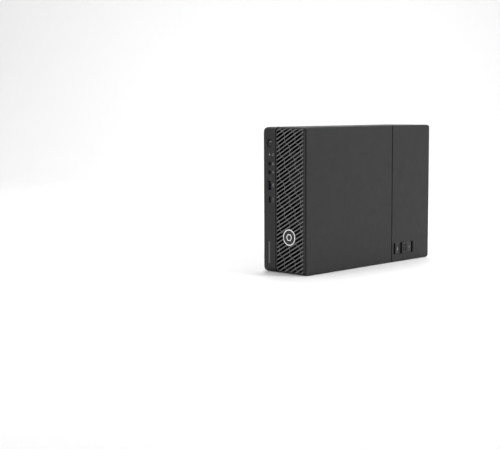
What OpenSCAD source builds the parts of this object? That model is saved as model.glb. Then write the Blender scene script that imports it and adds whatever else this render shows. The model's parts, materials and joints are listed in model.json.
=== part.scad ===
// Compact upright mini computer with a lift-off side cover and a cable cover clipped on behind it.
// The front faces -Y, the side cover faces +X, the mounting side faces -X and +Z is up.
// The origin is the middle of the footprint that it stands on.

/* [Case] */
// Height of the standing case
case_h = 189; // [188:1:192]
// Width of the steel case, without its rubber feet
case_w = 73; // [70:1:74]
// Depth from the bezel's face to the rear panel
case_d = 178; // [178:1:180]
// Thickness of the steel sheet
steel = 1.2; // [1:0.1:1.3]
// Bend radius of the case's long edges on the mounting side
bend_r = 3.5; // [3:0.5:4.5]
// Radius of the front corners, seen from the side
nose_r = 7; // [5:0.5:8]
// Radius of the side cover's wrap round the front edge
wrap_r = 2.5; // [2.5:0.5:3.5]
// Width of the side cover's flanges over the top and bottom
flange_w = 14; // [12:1:15]

/* [Front] */
// Depth of the plastic bezel
bezel_d = 12; // [11:0.5:12]
// Wall of the bezel
bezel_wall = 2; // [1.6:0.1:2.4]
// Width of the strip that holds the button and the sockets
strip_w = 21.1; // [20:0.1:22]
// Slope of the grille's slots above the horizontal
slot_angle = 29.7; // [28:0.1:33]
// Distance from slot to slot, across the slots
slot_pitch = 4.69; // [4.5:0.01:5]
// Width of one slot
slot_w = 3.2; // [2.6:0.1:3.4]
// Thickness of the grille's slats
grille_wall = 1.2; // [1:0.1:1.6]
// Width of the six-sided cells that the bridges across the slots outline
cell_w = 18.4; // [16:0.1:20]
// Width of the bridges
bridge_w = 1; // [0.8:0.1:1.6]
// Diameter of the round badge
badge_d = 21; // [18:0.5:22]
// Diameter of the power button
button_d = 10; // [8:0.5:11]
// Travel of the power button
button_travel = 0.8; // [0.5:0.1:1]
// Diameter of the two audio jacks' bores
jack_d = 3.6; // [3.5:0.1:3.7]

/* [Cooling] */
// Radius of the processor blower's impeller
impeller_r = 32; // [28:1:33]
// Number of blades on the processor blower
impeller_blades = 29; // [19:2:37]
// Radius of the graphics card's fan
graphics_fan_r = 22; // [18:1:23]
// Number of blades on the graphics card's fan
graphics_blades = 11; // [7:2:15]
// Number of fins on the processor's heatsink
fin_count = 24; // [16:1:28]

/* [Cable cover] */
// Depth that the cable cover adds behind the case
cable_cover_d = 86; // [82:1:96]
// Wall of the cable cover
cover_wall = 2; // [1.8:0.1:2.4]
// Radius of the rear corners, seen from the side
tail_r = 8; // [5:0.5:9]
// Radius of the rear corners, seen from above
tail_side_r = 3; // [2:0.5:4]
// Height of the latch pocket
latch_h = 16; // [14:0.5:17]
// Travel of the release slider
release_travel = 4; // [3:0.5:4]
// Travel of the lock slider
lock_travel = 3.2; // [2:0.1:3.2]

/* [Mounting] */
// Distance between the threaded inserts, up and along
insert_spacing = 100; // [75:25:100]
// Diameter of the inserts' holes, for M4 screws
insert_hole_d = 4.3; // [4.2:0.1:4.5]
// Height of the rubber feet above the mounting side
foot_h = 1.5; // [1.2:0.1:2]
// Diameter of the rubber feet
foot_d = 16; // [12:1:18]

/* [Hidden] */
$fn = 48;

eps = 0.01;      // overlap of a cutter past the face that it cuts
fit = 0.05;      // gap between parts that seat on each other
gap = 0.3;       // gap between parts that come apart

// The case's planes. The feet stand out of the mounting side, so that all of it is centred.
x_cover = (case_w + foot_h) / 2;
x_tray = x_cover - case_w;
x_feet = x_tray - foot_h;
y_front = -(case_d + cable_cover_d) / 2;
y_rear = y_front + case_d;
y_end = y_rear + cable_cover_d;
y_frame = y_front + bezel_d;
x_inner = x_tray + steel;
seam_x = x_cover - flange_w;
lip_x = x_cover - wrap_r - 0.35;
lip_in = 2 * steel + 0.2;
bezel_x = lip_x - gap;

// The front's column of sockets, measured up from the base.
port_x = x_tray + 10.2;
button_z = case_h - 20.8;
light_z = case_h - 35.6;
headset_z = case_h - 47.5;
line_out_z = case_h - 58.4;
usb_a_z = case_h - 75.6;
usb_c_z = case_h - 94.3;
label_x = x_tray + 9.2;
label_z = 25.7;
groove_w = 1.2;
groove_x = x_tray + strip_w - groove_w / 2;
grille_x0 = groove_x + groove_w;
grille_x1 = bezel_x - 0.9;
grille_z0 = 1.6;
grille_z1 = case_h - 1.6;
grille_back = y_front + 3.6;
grille_edge = 1;
rib_x = grille_x1 - 2.2;
badge_x = x_tray + 44.5;
badge_z = 47.7;
row_h = slot_pitch / cos(slot_angle);
cell_x = x_tray + 45.6;
cell_z = case_h - 59.4;

// The system board lies along the tray.
board_x0 = x_inner + 2.85;
board_x = board_x0 + 1.6;
board_y0 = y_front + 15;
board_y1 = y_rear - 3;
board_z0 = 5;
board_z1 = case_h - 5;
screw_spots =
    [for (y = [board_y0 + 6, y_front + 91, y_rear - 22], z = [board_z0 + 4.5, board_z1 - 4.5]) [y, z]];

// Rear sockets, measured up from the base.
dc_z = 15;
display_z = [33.5, 54.5];
usb_z = [76, 95.5];
lan_z = 117;
socket_y0 = y_rear - 16;
socket_y1 = y_rear + 0.5;

// Processor, its heatsink and its blower.
cpu_y = y_rear - 45;
cpu_z = 52;
sink_x0 = board_x + 6.4;
sink_x1 = x_cover - 13.5;
fin_z0 = cpu_z - 33;
fin_z1 = cpu_z + 33;
blower_y = y_front + 65;
blower_z = 52;
blower_r = impeller_r + 6;
blower_x0 = board_x + 20.6;
blower_x1 = sink_x1;
blower_outlet_y = y_rear - 72;

// Graphics card, held flat over the board by the riser.
riser_z = 97.4;
riser_y0 = y_rear - 109;
riser_y1 = y_rear - 17.5;
card_x = x_cover - 24.5;
card_y0 = y_rear - 113;
card_y1 = y_rear - 6;
card_z1 = 172;
card_fan_y = card_y0 + 36;
card_fan_z = 140;
bracket_z = 179.2;

// The side cover's screw at the rear.
screw_x = x_cover - 8.5;
screw_z = 94.5;

// Cable cover and its latch pocket.
seam_y0 = y_rear - 1.4;
cover_y0 = y_rear + gap;
latch_y0 = y_rear + 3.7;
latch_y1 = y_rear + 48.4;
latch_z0 = 10.4;
latch_floor_x = x_cover - 3.4;
lock_y0 = latch_y0 + 4.6;
lock_y1 = lock_y0 + 10.2;
release_y0 = lock_y1 + 6;
release_y1 = release_y0 + 19.6;

module along_x(x0, x1) translate([x0, 0, 0]) rotate([90, 0, 90]) linear_extrude(x1 - x0) children();
module along_y(y0, y1) translate([0, y1, 0]) rotate([90, 0, 0]) linear_extrude(y1 - y0) children();
module along_z(z0, z1) translate([0, 0, z0]) linear_extrude(z1 - z0) children();
module block(lo, hi) translate(lo) cube(hi - lo);
module rod_x(x0, x1, y, z, r) along_x(x0, x1) translate([y, z]) circle(r);
module rod_y(y0, y1, x, z, r) along_y(y0, y1) translate([x, z]) circle(r);

// A rectangle whose corners have their own radii, anticlockwise from the lower left.
module soft_rect(lo, hi, r) {
    corner = [lo, [hi.x, lo.y], hi, [lo.x, hi.y]];
    inward = [[1, 1], [-1, 1], [-1, -1], [1, -1]];
    difference() {
        translate(lo) square(hi - lo);
        for (i = [0:3]) if (r[i] > 0)
            difference() {
                translate(corner[i] + inward[i] * (r[i] - 1) / 2) square(r[i] + 1, center = true);
                translate(corner[i] + inward[i] * r[i]) circle(r[i]);
            }
    }
}

// A slot with round ends, w wide and l long end to end along the second axis.
module stadium(w, l) {
    square([w, l - w], center = true);
    for (s = [-1, 1]) translate([0, s * (l - w) / 2]) circle(w / 2);
}

// A smooth line through a route's points, with `steps` points from each to the next.
function smooth(route, steps) = [for (i = [0:len(route) - 2], k = [0:steps - 1])
    let (a = route[max(i - 1, 0)], b = route[i], c = route[i + 1], d = route[min(i + 2, len(route) - 1)],
        t = k / steps)
    b + 0.5 * t * (c - a + t * (2 * a - 5 * b + 4 * c - d + t * (3 * b - a - 3 * c + d)))];
function unit(v) = v / norm(v);
function heading(line, i) = unit(line[min(i + 1, len(line) - 1)] - line[max(i - 1, 0)]);
function square_to(u, d) = unit(u - (u * d) * d);

// A closed tube along a smooth line: one ring of points at each point of the line, carried along without
// twist.
module tube(route, r, steps = 4, sides = 8) {
    line = smooth(route, steps);
    rings = len(line);
    start_u = square_to([0.2, 0.3, 1], heading(line, 0));
    across = [for (i = 0, u = start_u; i < rings; i = i + 1,
        u = square_to(u, heading(line, min(i, rings - 1)))) u];
    points = [for (i = [0:rings - 1], k = [0:sides - 1])
        let (v = cross(heading(line, i), across[i]), a = 360 * k / sides)
        line[i] + r * (cos(a) * across[i] + sin(a) * v)];
    walls = [for (i = [0:rings - 2], k = [0:sides - 1])
        [i * sides + k, (i + 1) * sides + k, (i + 1) * sides + (k + 1) % sides, i * sides + (k + 1) % sides]];
    start = [for (k = [0:sides - 1]) k];
    finish = [for (k = [sides - 1:-1:0]) (rings - 1) * sides + k];
    polyhedron(points, concat([start], walls, [finish]), convexity = 4);
}

// Steel tray: the mounting side with the top and bottom walls, stepped in under the side cover's flanges.
module chassis_tray() color("#343436") difference() {
    along_y(y_frame, y_rear) {
        difference() {
            soft_rect([x_tray, 0], [seam_x, case_h], [bend_r, 0, 0, bend_r]);
            soft_rect([x_inner, steel], [seam_x + 1, case_h - steel], [bend_r - steel, 0, 0, bend_r - steel]);
        }
        for (z = [steel + 0.2, case_h - lip_in]) translate([seam_x - steel, z]) square([steel + 10, steel]);
        for (z = [0, case_h - lip_in]) translate([seam_x - steel, z]) square([steel, lip_in]);
    }
    insert_places() rod_x(x_tray - 1, x_inner + 1, 0, 0, 3.6);
    for (row = [0:4], column = [0:2])
        along_x(x_tray - 1, x_inner + 1)
            translate([y_front + 52 + 22 * column, 72 + 11 * row]) rotate(90) stadium(3, 16);
}

module insert_places() for (y = [-1, 1], z = [-1, 1])
    translate([0, (y_frame + y_rear) / 2 - 6 + y * insert_spacing / 2,
        case_h / 2 + z * insert_spacing / 2]) children();

// Threaded inserts for a monitor arm, a stand or a bracket.
module mounting_inserts() color("silver") insert_places() difference() {
    rod_x(x_tray, board_x0 - 0.25, 0, 0, 3.6 - fit);
    rod_x(x_tray - 1, board_x0, 0, 0, insert_hole_d / 2);
}

module rubber_feet() color("#161616")
    for (y = [y_frame + 13, y_rear - 13], z = [18, case_h - 18]) difference() {
        rod_x(x_feet, x_tray, y, z, foot_d / 2);
        rod_x(x_feet - 1, x_feet + 0.5, y, z, foot_d / 2 - 4);
    }

// Rear wall of the case, with its socket openings, exhaust slots and the graphics card's window.
module rear_panel() color("#3a3a3c") difference() {
    along_y(y_rear - steel, y_rear) {
        soft_rect([x_inner + fit, steel + fit], [seam_x - steel - fit, case_h - steel - fit],
            [2.4, 0, 0, 2.4]);
        translate([seam_x - steel - 1, lip_in + fit])
            square([x_cover - seam_x - gap + 1, case_h - 2 * lip_in - 2 * fit]);
    }
    along_y(y_rear - steel - 1, y_rear + 1) {
        translate([board_x + 6, dc_z]) square([13, 13], center = true);
        for (z = display_z) translate([board_x + 3.6, z]) square([7.4, 18.2], center = true);
        for (z = usb_z) translate([board_x + 7.9, z]) square([16.2, 14], center = true);
        translate([board_x + 6.9, lan_z]) square([14.2, 17], center = true);
        translate([board_x + 5, lan_z + 36]) stadium(7, 24);
        translate([card_x - 0.4, 106]) square([13.8, 70]);
        for (row = [0:9], column = [0:2]) if (row < 8 || column < 2)
            translate([-6.5 + 12 * column, 15 + 8.2 * row]) rotate(90) stadium(4.4, 9.6);
        translate([3, 101.5]) square([3, 7], center = true);
        for (z = [5.2, case_h - 5.2]) translate([6, z]) square([13, 2.8], center = true);
        translate([screw_x, screw_z]) circle(2.06);
        translate([card_x + 5.8, bracket_z]) circle(1.6);
    }
}

// Inner steel frame behind the bezel, open for the air and for the sockets.
module front_frame() color("#202022") difference() {
    along_y(y_frame + fit, y_frame + steel)
        soft_rect([x_inner + fit, steel + fit], [seam_x - steel - fit, case_h - steel - fit],
            [2.4, 0, 0, 2.4]);
    along_y(y_frame - 1, y_frame + steel + 1) {
        translate([port_x - 4.6, 86]) square([9.2, 92]);
        for (i = [0:5]) translate([x_inner + 20.5, 8 + 29.8 * i]) square([seam_x - steel - x_inner - 25, 24]);
    }
}

// Side cover: the big panel with top and bottom flanges, the front wrap and a notched tab at the rear.
module side_cover() color("#3c3c3e") {
    difference() {
        cover_body(0, seam_y0);
        cover_body(steel, y_rear + 5);
        block([x_tray, y_front - 1, -1], [lip_x, y_frame + gap, case_h + 1]);
    }
    difference() {
        block([screw_x - 5, y_rear - 2.8, screw_z - 6.5],
            [x_cover - steel + eps, y_rear - 1.6, screw_z + 6.5]);
        rod_y(y_rear - 4, y_rear, screw_x, screw_z, 2.4);
        block([screw_x - 6, y_rear - 4, screw_z - 2.4], [screw_x, y_rear, screw_z + 2.4]);
    }
}

// The side cover's envelope, inset by t.
module cover_body(t, y1) intersection() {
    along_y(y_front + t, y1)
        soft_rect([seam_x + gap - 20 * sign(t), t], [x_cover - t, case_h - t], [0, 2 - t / 2, 2 - t / 2, 0]);
    along_z(t, case_h - t)
        soft_rect([x_tray, y_front + t], [x_cover - t, y1], [0, wrap_r - t, 0, 0]);
    along_x(x_tray, x_cover - t)
        soft_rect([y_front + t, t], [y1, case_h - t], [nose_r - t, 0, 0, nose_r - t]);
}

// Plastic front bezel with the socket strip on the left and the grille's window on the right.
module front_bezel() color("#323234") difference() {
    bezel_body(0);
    bezel_body(bezel_wall);
    block([grille_x0, y_front - 1, grille_z0], [grille_x1, grille_back + fit, grille_z1]);
    along_x(groove_x, grille_x0 + fit) difference() {
        translate([y_front - 1, -1]) square([bezel_d + 1, case_h + 2]);
        nose_side(1);
    }
    rod_y(y_front - 1, y_frame, port_x, button_z, button_d / 2 + 0.2);
    rod_y(y_front - 1, y_frame, port_x, light_z, 1.1);
    for (z = [headset_z, line_out_z]) rod_y(y_front - 1, y_frame, port_x, z, 2.9);
    along_y(y_front - 1, y_frame) {
        translate([port_x, usb_a_z]) square([6.6, 13.8], center = true);
        translate([port_x, usb_c_z]) stadium(3.5, 9.3);
        translate([label_x, label_z]) square([2.6, 28.6], center = true);
    }
}

// The bezel seen from the side, inset by t.
module nose_side(t) soft_rect([y_front + t, t], [y_frame + 1, case_h - t], [nose_r - t, 0, 0, nose_r - t]);

module bezel_body(t) intersection() {
    along_y(y_front + t, y_frame + sign(t))
        soft_rect([x_tray + t, t], [bezel_x - min(t, 0.9), case_h - t], [bend_r, 0, 0, bend_r]);
    along_x(x_tray, x_cover) nose_side(t);
}

// The grille's slots: rows along the slope, crossed by the upright and the falling sides of six-sided cells.
// The cells' rising sides lie along the rows. A cell is six rows high, and its neighbour lies four rows
// lower.
module grille_slots() translate([cell_x, cell_z]) difference() {
    for (row = [-14:28]) translate([0, -row * row_h]) rotate(slot_angle)
        square([2 * case_w, slot_w], center = true);
    for (i = [-5:5], j = [-6:7])
        translate([i * cell_w / 2, (-4 * i - 6 * j) * row_h + i * cell_w / 2 * tan(slot_angle)]) {
        translate([-bridge_w / 2, -1.5 * row_h]) square([bridge_w, 2 * row_h]);
        falling_side();
    }
}

module falling_side() {
    drop = row_h - cell_w / 2 * tan(slot_angle) + row_h;
    run = norm([cell_w / 2, drop]);
    translate([0, -1.5 * row_h]) rotate(-atan2(drop, cell_w / 2)) translate([0, -bridge_w / 2])
        square([run, bridge_w]);
}

// The grille follows the front's rounded top and bottom edges.
module front_grille() color("#4b4c4e") difference() {
    along_x(grille_x0 + fit, grille_x1 - fit) intersection() {
        difference() {
            nose_side(0.25);
            nose_side(0.25 + grille_wall);
        }
        translate([y_front, grille_z0 + fit])
            square([grille_back - y_front, grille_z1 - grille_z0 - 2 * fit]);
    }
    along_y(y_front - 1, y_frame) intersection() {
        grille_slots();
        union() {
            translate([grille_x0 + grille_edge, grille_z0 + grille_edge])
                square([rib_x - grille_x0 - grille_edge, grille_z1 - grille_z0 - 2 * grille_edge]);
            translate([rib_x + 0.65, grille_z0 + grille_edge])
                square([1.15, grille_z1 - grille_z0 - 2 * grille_edge]);
        }
    }
    rod_y(y_front - 1, y_front + 3, badge_x, badge_z, badge_d / 2 - 1.5);
}

// Plain round badge, held in the grille by its stem.
module front_badge() color("silver") {
    rod_y(y_front, y_front + 0.2, badge_x, badge_z, badge_d / 2);
    rod_y(y_front + 0.2, y_front + grille_wall + 0.8, badge_x, badge_z, badge_d / 2 - 1.55);
}

module label_strip() color("#77787a") along_y(y_front + 0.1, y_front + bezel_wall)
    translate([label_x, label_z]) square([2.5, 28.5], center = true);

// Knurled captive screw that clamps the side cover's tab from the rear.
module thumbscrew() color("#8d8f92") {
    difference() {
        rod_y(y_rear + 0.2, y_rear + 7, screw_x, screw_z, 5.6);
        for (i = [0:17]) translate([screw_x, 0, screw_z]) rotate([0, 20 * i, 0])
            block([5.25, y_rear + 1.4, -0.35], [6, y_rear + 8, 0.35]);
        block([screw_x - 4, y_rear + 5.8, screw_z - 0.6], [screw_x + 4, y_rear + 8, screw_z + 0.6]);
    }
    rod_y(y_rear - 7, y_rear + 0.2, screw_x, screw_z, 2);
}

// Round push button with a flange behind the bezel and a stem that reaches the switch.
module power_button() color("#4a4b4d") {
    rod_y(y_front + 0.2, y_front + 2.2, port_x, button_z, button_d / 2);
    rod_y(y_front + 2.2, y_front + 3.4, port_x, button_z, button_d / 2 + 0.9);
    rod_y(y_front + 3.4, y_front + 11.1, port_x, button_z, 1.5);
}

module power_switch() color("#1d1d1f") {
    block([board_x, y_front + 13.4, button_z - 3], [port_x + 3, y_front + 18, button_z + 3]);
    rod_y(y_front + 12.2, y_front + 13.4, port_x, button_z, 1.2);
}

module activity_light() color("white") {
    rod_y(y_front + 0.05, y_front + 4, port_x, light_z, 1.05);
    block([board_x, y_front + 4, light_z - 1.4], [port_x + 1.2, y_front + 18, light_z + 1.4]);
}

// A 3.5 mm socket: a collar in the bezel, the bore, and the body on the board.
module audio_jack(z) color("#111113") difference() {
    union() {
        rod_y(y_front + 0.8, y_front + 6, port_x, z, 2.8);
        block([board_x, y_front + 6, z - 3.1], [port_x + 3.1, y_front + 17.6, z + 3.1]);
    }
    rod_y(y_front, y_front + 15.8, port_x, z, jack_d / 2);
}

module headset_jack() audio_jack(headset_z);
module line_out_jack() audio_jack(line_out_z);

module front_usb_a_shell() color("#a9abad") difference() {
    block([port_x - 3.15, y_front + 0.9, usb_a_z - 6.75], [port_x + 3.15, y_front + 18.5, usb_a_z + 6.75]);
    block([port_x - 2.6, y_front, usb_a_z - 6.2], [port_x + 2.6, y_front + 15, usb_a_z + 6.2]);
}

module front_usb_a_tongue() color("#23283c")
    block([port_x - 0.3, y_front + 3, usb_a_z - 5.6], [port_x + 1.7, y_front + 15, usb_a_z + 5.6]);

module front_usb_c_port() color("#8f9193") {
    difference() {
        along_y(y_front + 0.9, y_front + 17) translate([port_x, usb_c_z]) stadium(3.3, 9.1);
        along_y(y_front, y_front + 15) translate([port_x, usb_c_z]) stadium(2.6, 8.4);
    }
    block([port_x - 0.35, y_front + 3, usb_c_z - 3.3], [port_x + 0.35, y_front + 15.1, usb_c_z + 3.3]);
}

module system_board() color("#123c2a") difference() {
    block([board_x0, board_y0, board_z0], [board_x, board_y1, board_z1]);
    for (p = screw_spots) rod_x(board_x0 - 1, board_x + 1, p.x, p.y, 1.7);
    block([board_x0 - 1, board_y0 - 1, 60], [board_x + 1, board_y0 + 8, 84]);
    block([board_x0 - 1, board_y1 - 6, 128], [board_x + 1, board_y1 + 1, 136]);
}

module board_standoffs() color("#b89b52") for (p = screw_spots) difference() {
    rod_x(x_inner, board_x0, p.x, p.y, 2.8);
    rod_x(x_inner - 1, board_x0 + 1, p.x, p.y, 1.5);
}

module board_screws() color("silver") for (p = screw_spots) difference() {
    union() {
        rod_x(x_inner + 0.3, board_x, p.x, p.y, 1.4);
        rod_x(board_x, board_x + 1.7, p.x, p.y, 3);
    }
    for (a = [0, 90]) translate([0, p.x, p.y]) rotate([a, 0, 0])
        block([board_x + 0.9, -1.6, -0.3], [board_x + 2, 1.6, 0.3]);
}

module processor_socket() color("#d8d8da") difference() {
    block([board_x, cpu_y - 27, cpu_z - 24], [board_x + 3.2, cpu_y + 27, cpu_z + 24]);
    block([board_x + 1.4, cpu_y - 22.7, cpu_z - 19], [board_x + 4, cpu_y + 22.7, cpu_z + 19]);
}

module processor() color("#c8cacc") {
    block([board_x + 1.45, cpu_y - 22.5, cpu_z - 18.75], [board_x + 3.6, cpu_y + 22.5, cpu_z + 18.75]);
    block([board_x + 3.6, cpu_y - 17, cpu_z - 14], [sink_x0 - fit, cpu_y + 17, cpu_z + 14]);
}

module sink_screw_places() for (y = [-24, 24], z = [-37, 37]) translate([0, cpu_y + y, cpu_z + z]) children();

// Finned heatsink. The air from the blower runs back between the fins.
module heatsink() color("#c3c6c9") {
    pitch = (fin_z1 - fin_z0 - 0.8) / (fin_count - 1);
    difference() {
        block([sink_x0, cpu_y - 28, cpu_z - 42], [sink_x0 + 3.5, cpu_y + 26, cpu_z + 42]);
        sink_screw_places() rod_x(sink_x0 - 1, sink_x0 + 5, 0, 0, 1.8);
    }
    for (i = [0:fin_count - 1])
        block([sink_x0 + 3.4, cpu_y - 26, fin_z0 + i * pitch],
            [sink_x1, cpu_y + 26, fin_z0 + i * pitch + 0.8]);
    block([sink_x1 - 1, cpu_y - 26, fin_z0], [sink_x1, cpu_y + 26, fin_z1]);
}

module heatsink_screws() color("silver") sink_screw_places() {
    rod_x(board_x, sink_x0 + 3.55, 0, 0, 1.7);
    difference() {
        rod_x(sink_x0 + 3.55, sink_x0 + 6.4, 0, 0, 3.1);
        for (a = [0, 90]) rotate([a, 0, 0]) block([sink_x0 + 5.4, -1.8, -0.35], [sink_x0 + 7, 1.8, 0.35]);
    }
}

module volute(t) {
    translate([blower_y, blower_z]) circle(blower_r - t);
    translate([blower_y, fin_z0 + t])
        square([blower_outlet_y - blower_y + sign(t), blower_z + blower_r - fin_z0 - 2 * t]);
}

// Blower housing: floor, spiral wall, lid with the air inlet, and the fixed shaft.
module blower_housing() color("#1b1b1d") {
    difference() {
        along_x(blower_x0, blower_x1) volute(0);
        along_x(blower_x0 + 1.4, blower_x1 - 1.4) volute(1.4);
        rod_x(blower_x1 - 2, blower_x1 + 1, blower_y, blower_z, impeller_r - 7);
    }
    rod_x(blower_x0 + 1.3, blower_x1 - 8, blower_y, blower_z, 1.5);
    for (z = [-1, 1]) difference() {
        block([blower_x0, blower_y - 30, blower_z + z * 36 - 5],
            [blower_x0 + 3, blower_y - 22, blower_z + z * 36 + 5]);
        along_x(blower_x0 - 1, blower_x0 + 4) translate([blower_y, blower_z]) circle(blower_r - 0.7);
        rod_x(blower_x0 - 1, blower_x0 + 4, blower_y - 26, blower_z + z * 36.5, 1.5);
    }
}

// Centrifugal impeller: hub, back plate, curved blades and their rim, turning on the shaft.
module blower_impeller() color("#242427") translate([0, blower_y, blower_z]) {
    difference() {
        union() {
            rod_x(blower_x0 + 2.4, blower_x1 - 5, 0, 0, 13);
            rod_x(blower_x0 + 2.4, blower_x0 + 3.6, 0, 0, impeller_r);
        }
        rod_x(blower_x0, blower_x1 - 6.8, 0, 0, 1.55);
    }
    for (i = [0:impeller_blades - 1]) rotate([360 / impeller_blades * i, 0, 0])
        along_x(blower_x0 + 3.5, blower_x1 - 3.4) translate([impeller_r - 12.5, 0]) rotate(28)
            square([13, 0.8]);
    along_x(blower_x1 - 4, blower_x1 - 3) difference() {
        circle(impeller_r);
        circle(impeller_r - 2.2);
    }
}

memory_y0 = y_front + 31;
memory_y1 = memory_y0 + 30;
memory_z0 = 104;
memory_z1 = memory_z0 + 67.6;
memory_x = [board_x + 4.2, board_x + 9.2];

// Two stacked laptop-memory sockets with their side arms.
module memory_sockets() color("#1c1c1e") difference() {
    union() {
        block([board_x, memory_y1 - 1.5, memory_z0 - 1.6], [board_x + 12, memory_y1 + 5, memory_z1 + 1.6]);
        for (z = [memory_z0 - 1.6, memory_z1 + 0.2])
            block([board_x, memory_y0, z], [board_x + 11, memory_y1, z + 1.4]);
    }
    for (x = memory_x)
        block([x - 0.15, memory_y1 - 2, memory_z0 - 0.2], [x + 1.35, memory_y1 + 2.6, memory_z1 + 0.2]);
}

module memory_module(x) {
    color("#14432f") block([x, memory_y0, memory_z0], [x + 1.2, memory_y1 + 2.5, memory_z1]);
    color("#18181a") for (i = [0:3])
        block([x + 1.1, memory_y0 + 6, memory_z0 + 4 + 16.2 * i],
            [x + 2.2, memory_y0 + 18, memory_z0 + 14.4 + 16.2 * i]);
}

module memory_module_lower() memory_module(memory_x[0]);
module memory_module_upper() memory_module(memory_x[1]);

ssd_y1 = y_rear - 25;
ssd_z = 128;

module ssd_socket() color("#1c1c1e") difference() {
    block([board_x, ssd_y1 - 1.4, ssd_z - 11.5], [board_x + 5.6, ssd_y1 + 5, ssd_z + 11.5]);
    block([board_x + 2.9, ssd_y1 - 2, ssd_z - 11.1], [board_x + 3.9, ssd_y1 + 2.6, ssd_z + 11.1]);
}

module ssd_module() {
    color("#0f2f24") difference() {
        block([board_x + 3, ssd_y1 - 77.5, ssd_z - 11], [board_x + 3.8, ssd_y1 + 2.5, ssd_z + 11]);
        rod_x(board_x + 2, board_x + 5, ssd_y1 - 77.5, ssd_z, 2.8);
    }
    color("#18181a") for (y = [-68, -50, -28])
        block([board_x + 3.7, ssd_y1 + y, ssd_z - 7],
            [board_x + 5.2, ssd_y1 + y + (y < -30 ? 14 : 18), ssd_z + 7]);
    color("silver") rod_x(board_x, board_x + 3, ssd_y1 - 77.5, ssd_z, 2.6);
    color("silver") rod_x(board_x + 2.9, board_x + 5, ssd_y1 - 77.5, ssd_z, 2.75);
}

wireless_y1 = y_rear - 75;
wireless_z = 160;

module wireless_card() {
    color("#1c1c1e")
        block([board_x, wireless_y1, wireless_z - 11.5], [board_x + 5, wireless_y1 + 5, wireless_z + 11.5]);
    color("#0f2f24") block([board_x + 2.6, wireless_y1 - 26, wireless_z - 11],
        [board_x + 3.4, wireless_y1 + 0.1, wireless_z + 11]);
    color("silver") block([board_x + 3.3, wireless_y1 - 16, wireless_z - 9],
        [board_x + 5, wireless_y1 - 3, wireless_z + 9]);
    color("gold") for (z = [-5, 5])
        rod_x(board_x + 3.3, board_x + 4.6, wireless_y1 - 21, wireless_z + z, 1.5);
    color("silver") rod_x(board_x, board_x + 2.7, wireless_y1 - 24, wireless_z, 2.4);
}

// Points of the two thin antenna leads, from the wireless card to the plastic bezel.
function antenna_route(side) = [
    [board_x + 4.65, wireless_y1 - 21, wireless_z + 5 * side],
    [board_x + 8, wireless_y1 - 21, wireless_z + 5 * side],
    [board_x + 9, wireless_y1 - 28, wireless_z + 8 + 2 * side],
    [board_x + 8, y_rear - 112, 176.5 + side * 1.2],
    [board_x + 5, y_rear - 118, 177.5 + side * 1.2],
    [board_x + 3, y_rear - 130, 178 + side * 1.2],
    [board_x + 3, y_rear - 150, 178 + side * 1.2],
    [board_x + 5, y_rear - 158, 178 + side * 1.2],
    [board_x + 11, y_rear - 161.5, 177 + side * 1.2],
    [board_x + 13, y_rear - 163, 170 + side * 2],
    [board_x + 13, y_rear - 162.5, 140 + side * 4],
    [board_x + 12.2, y_rear - 162.5, 96 + side * 6],
];

module antenna_cables() color("#222224") for (side = [-1, 1]) tube(antenna_route(side), 0.65, 3);

// The blower's lead, from its housing to its header on the board.
header_y = y_front + 22;
header_z = 93.5;
blower_route = [
    [blower_x0 + 3, blower_y - 37.4, blower_z + 8],
    [blower_x0 + 3, blower_y - 41, blower_z + 10],
    [blower_x0 + 3, blower_y - 43, blower_z + 20],
    [blower_x0 + 1, header_y, blower_z + 32],
    [board_x + 14, header_y, header_z - 2.5],
    [board_x + 9, header_y, header_z],
    [board_x + 5.6, header_y, header_z],
];

module blower_cable() color("#1a1a1c") tube(blower_route, 0.9, 4);

// Plug headers on the board for the blower and for the speaker.
module board_headers() color("#e4e2da") for (p = [[header_y, header_z], [header_y + 1, 160]]) difference() {
    block([board_x, p.x - 2.6, p.y - 4.4], [board_x + 5.6, p.x + 2.6, p.y + 4.4]);
    for (z = [-2.6, 0, 2.6])
        block([board_x + 3, p.x + 1.4, p.y + z - 0.5], [board_x + 6, p.x + 3, p.y + z + 0.5]);
}

module coin_cell_holder() color("#1c1c1e") difference() {
    rod_x(board_x, board_x + 4, y_rear - 50, 160, 12);
    rod_x(board_x + 1, board_x + 5, y_rear - 50, 160, 10.1);
}

module coin_cell() color("#cfd1d3") {
    rod_x(board_x + 1, board_x + 3.9, y_rear - 50, 160, 10);
    rod_x(board_x + 3.8, board_x + 4.3, y_rear - 50, 160, 8.6);
}

module chipset_heatsink() color("#9da0a3") {
    block([board_x, y_rear - 36, 150], [board_x + 3.5, y_rear - 16, 172]);
    for (i = [0:7]) block([board_x + 3.4, y_rear - 36, 150 + 3 * i], [board_x + 9, y_rear - 16, 151 + 3 * i]);
}

module regulator_chokes() color("#5d5f62") for (i = [0:5])
    block([board_x, cpu_y - 26 + 9 * i, cpu_z - 34], [board_x + 4.6, cpu_y - 18.6 + 9 * i, cpu_z - 26.6]);

module capacitors() color("#b9bcc0") {
    for (i = [0:4]) rod_x(board_x, board_x + 5.8, cpu_y - 36, cpu_z - 22 + 9 * i, 3.1);
    for (i = [0:3]) rod_x(board_x, board_x + 5.8, cpu_y - 62 + 8 * i, 88, 3.1);
}

// Small loudspeaker on the inner frame, facing the grille.
module speaker() color("#202022") difference() {
    block([x_inner + 34, y_frame + steel + fit, 106], [x_inner + 50, y_frame + steel + 13, 146]);
    rod_y(y_frame, y_frame + steel + 3, x_inner + 42, 126, 6.5);
}

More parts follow.
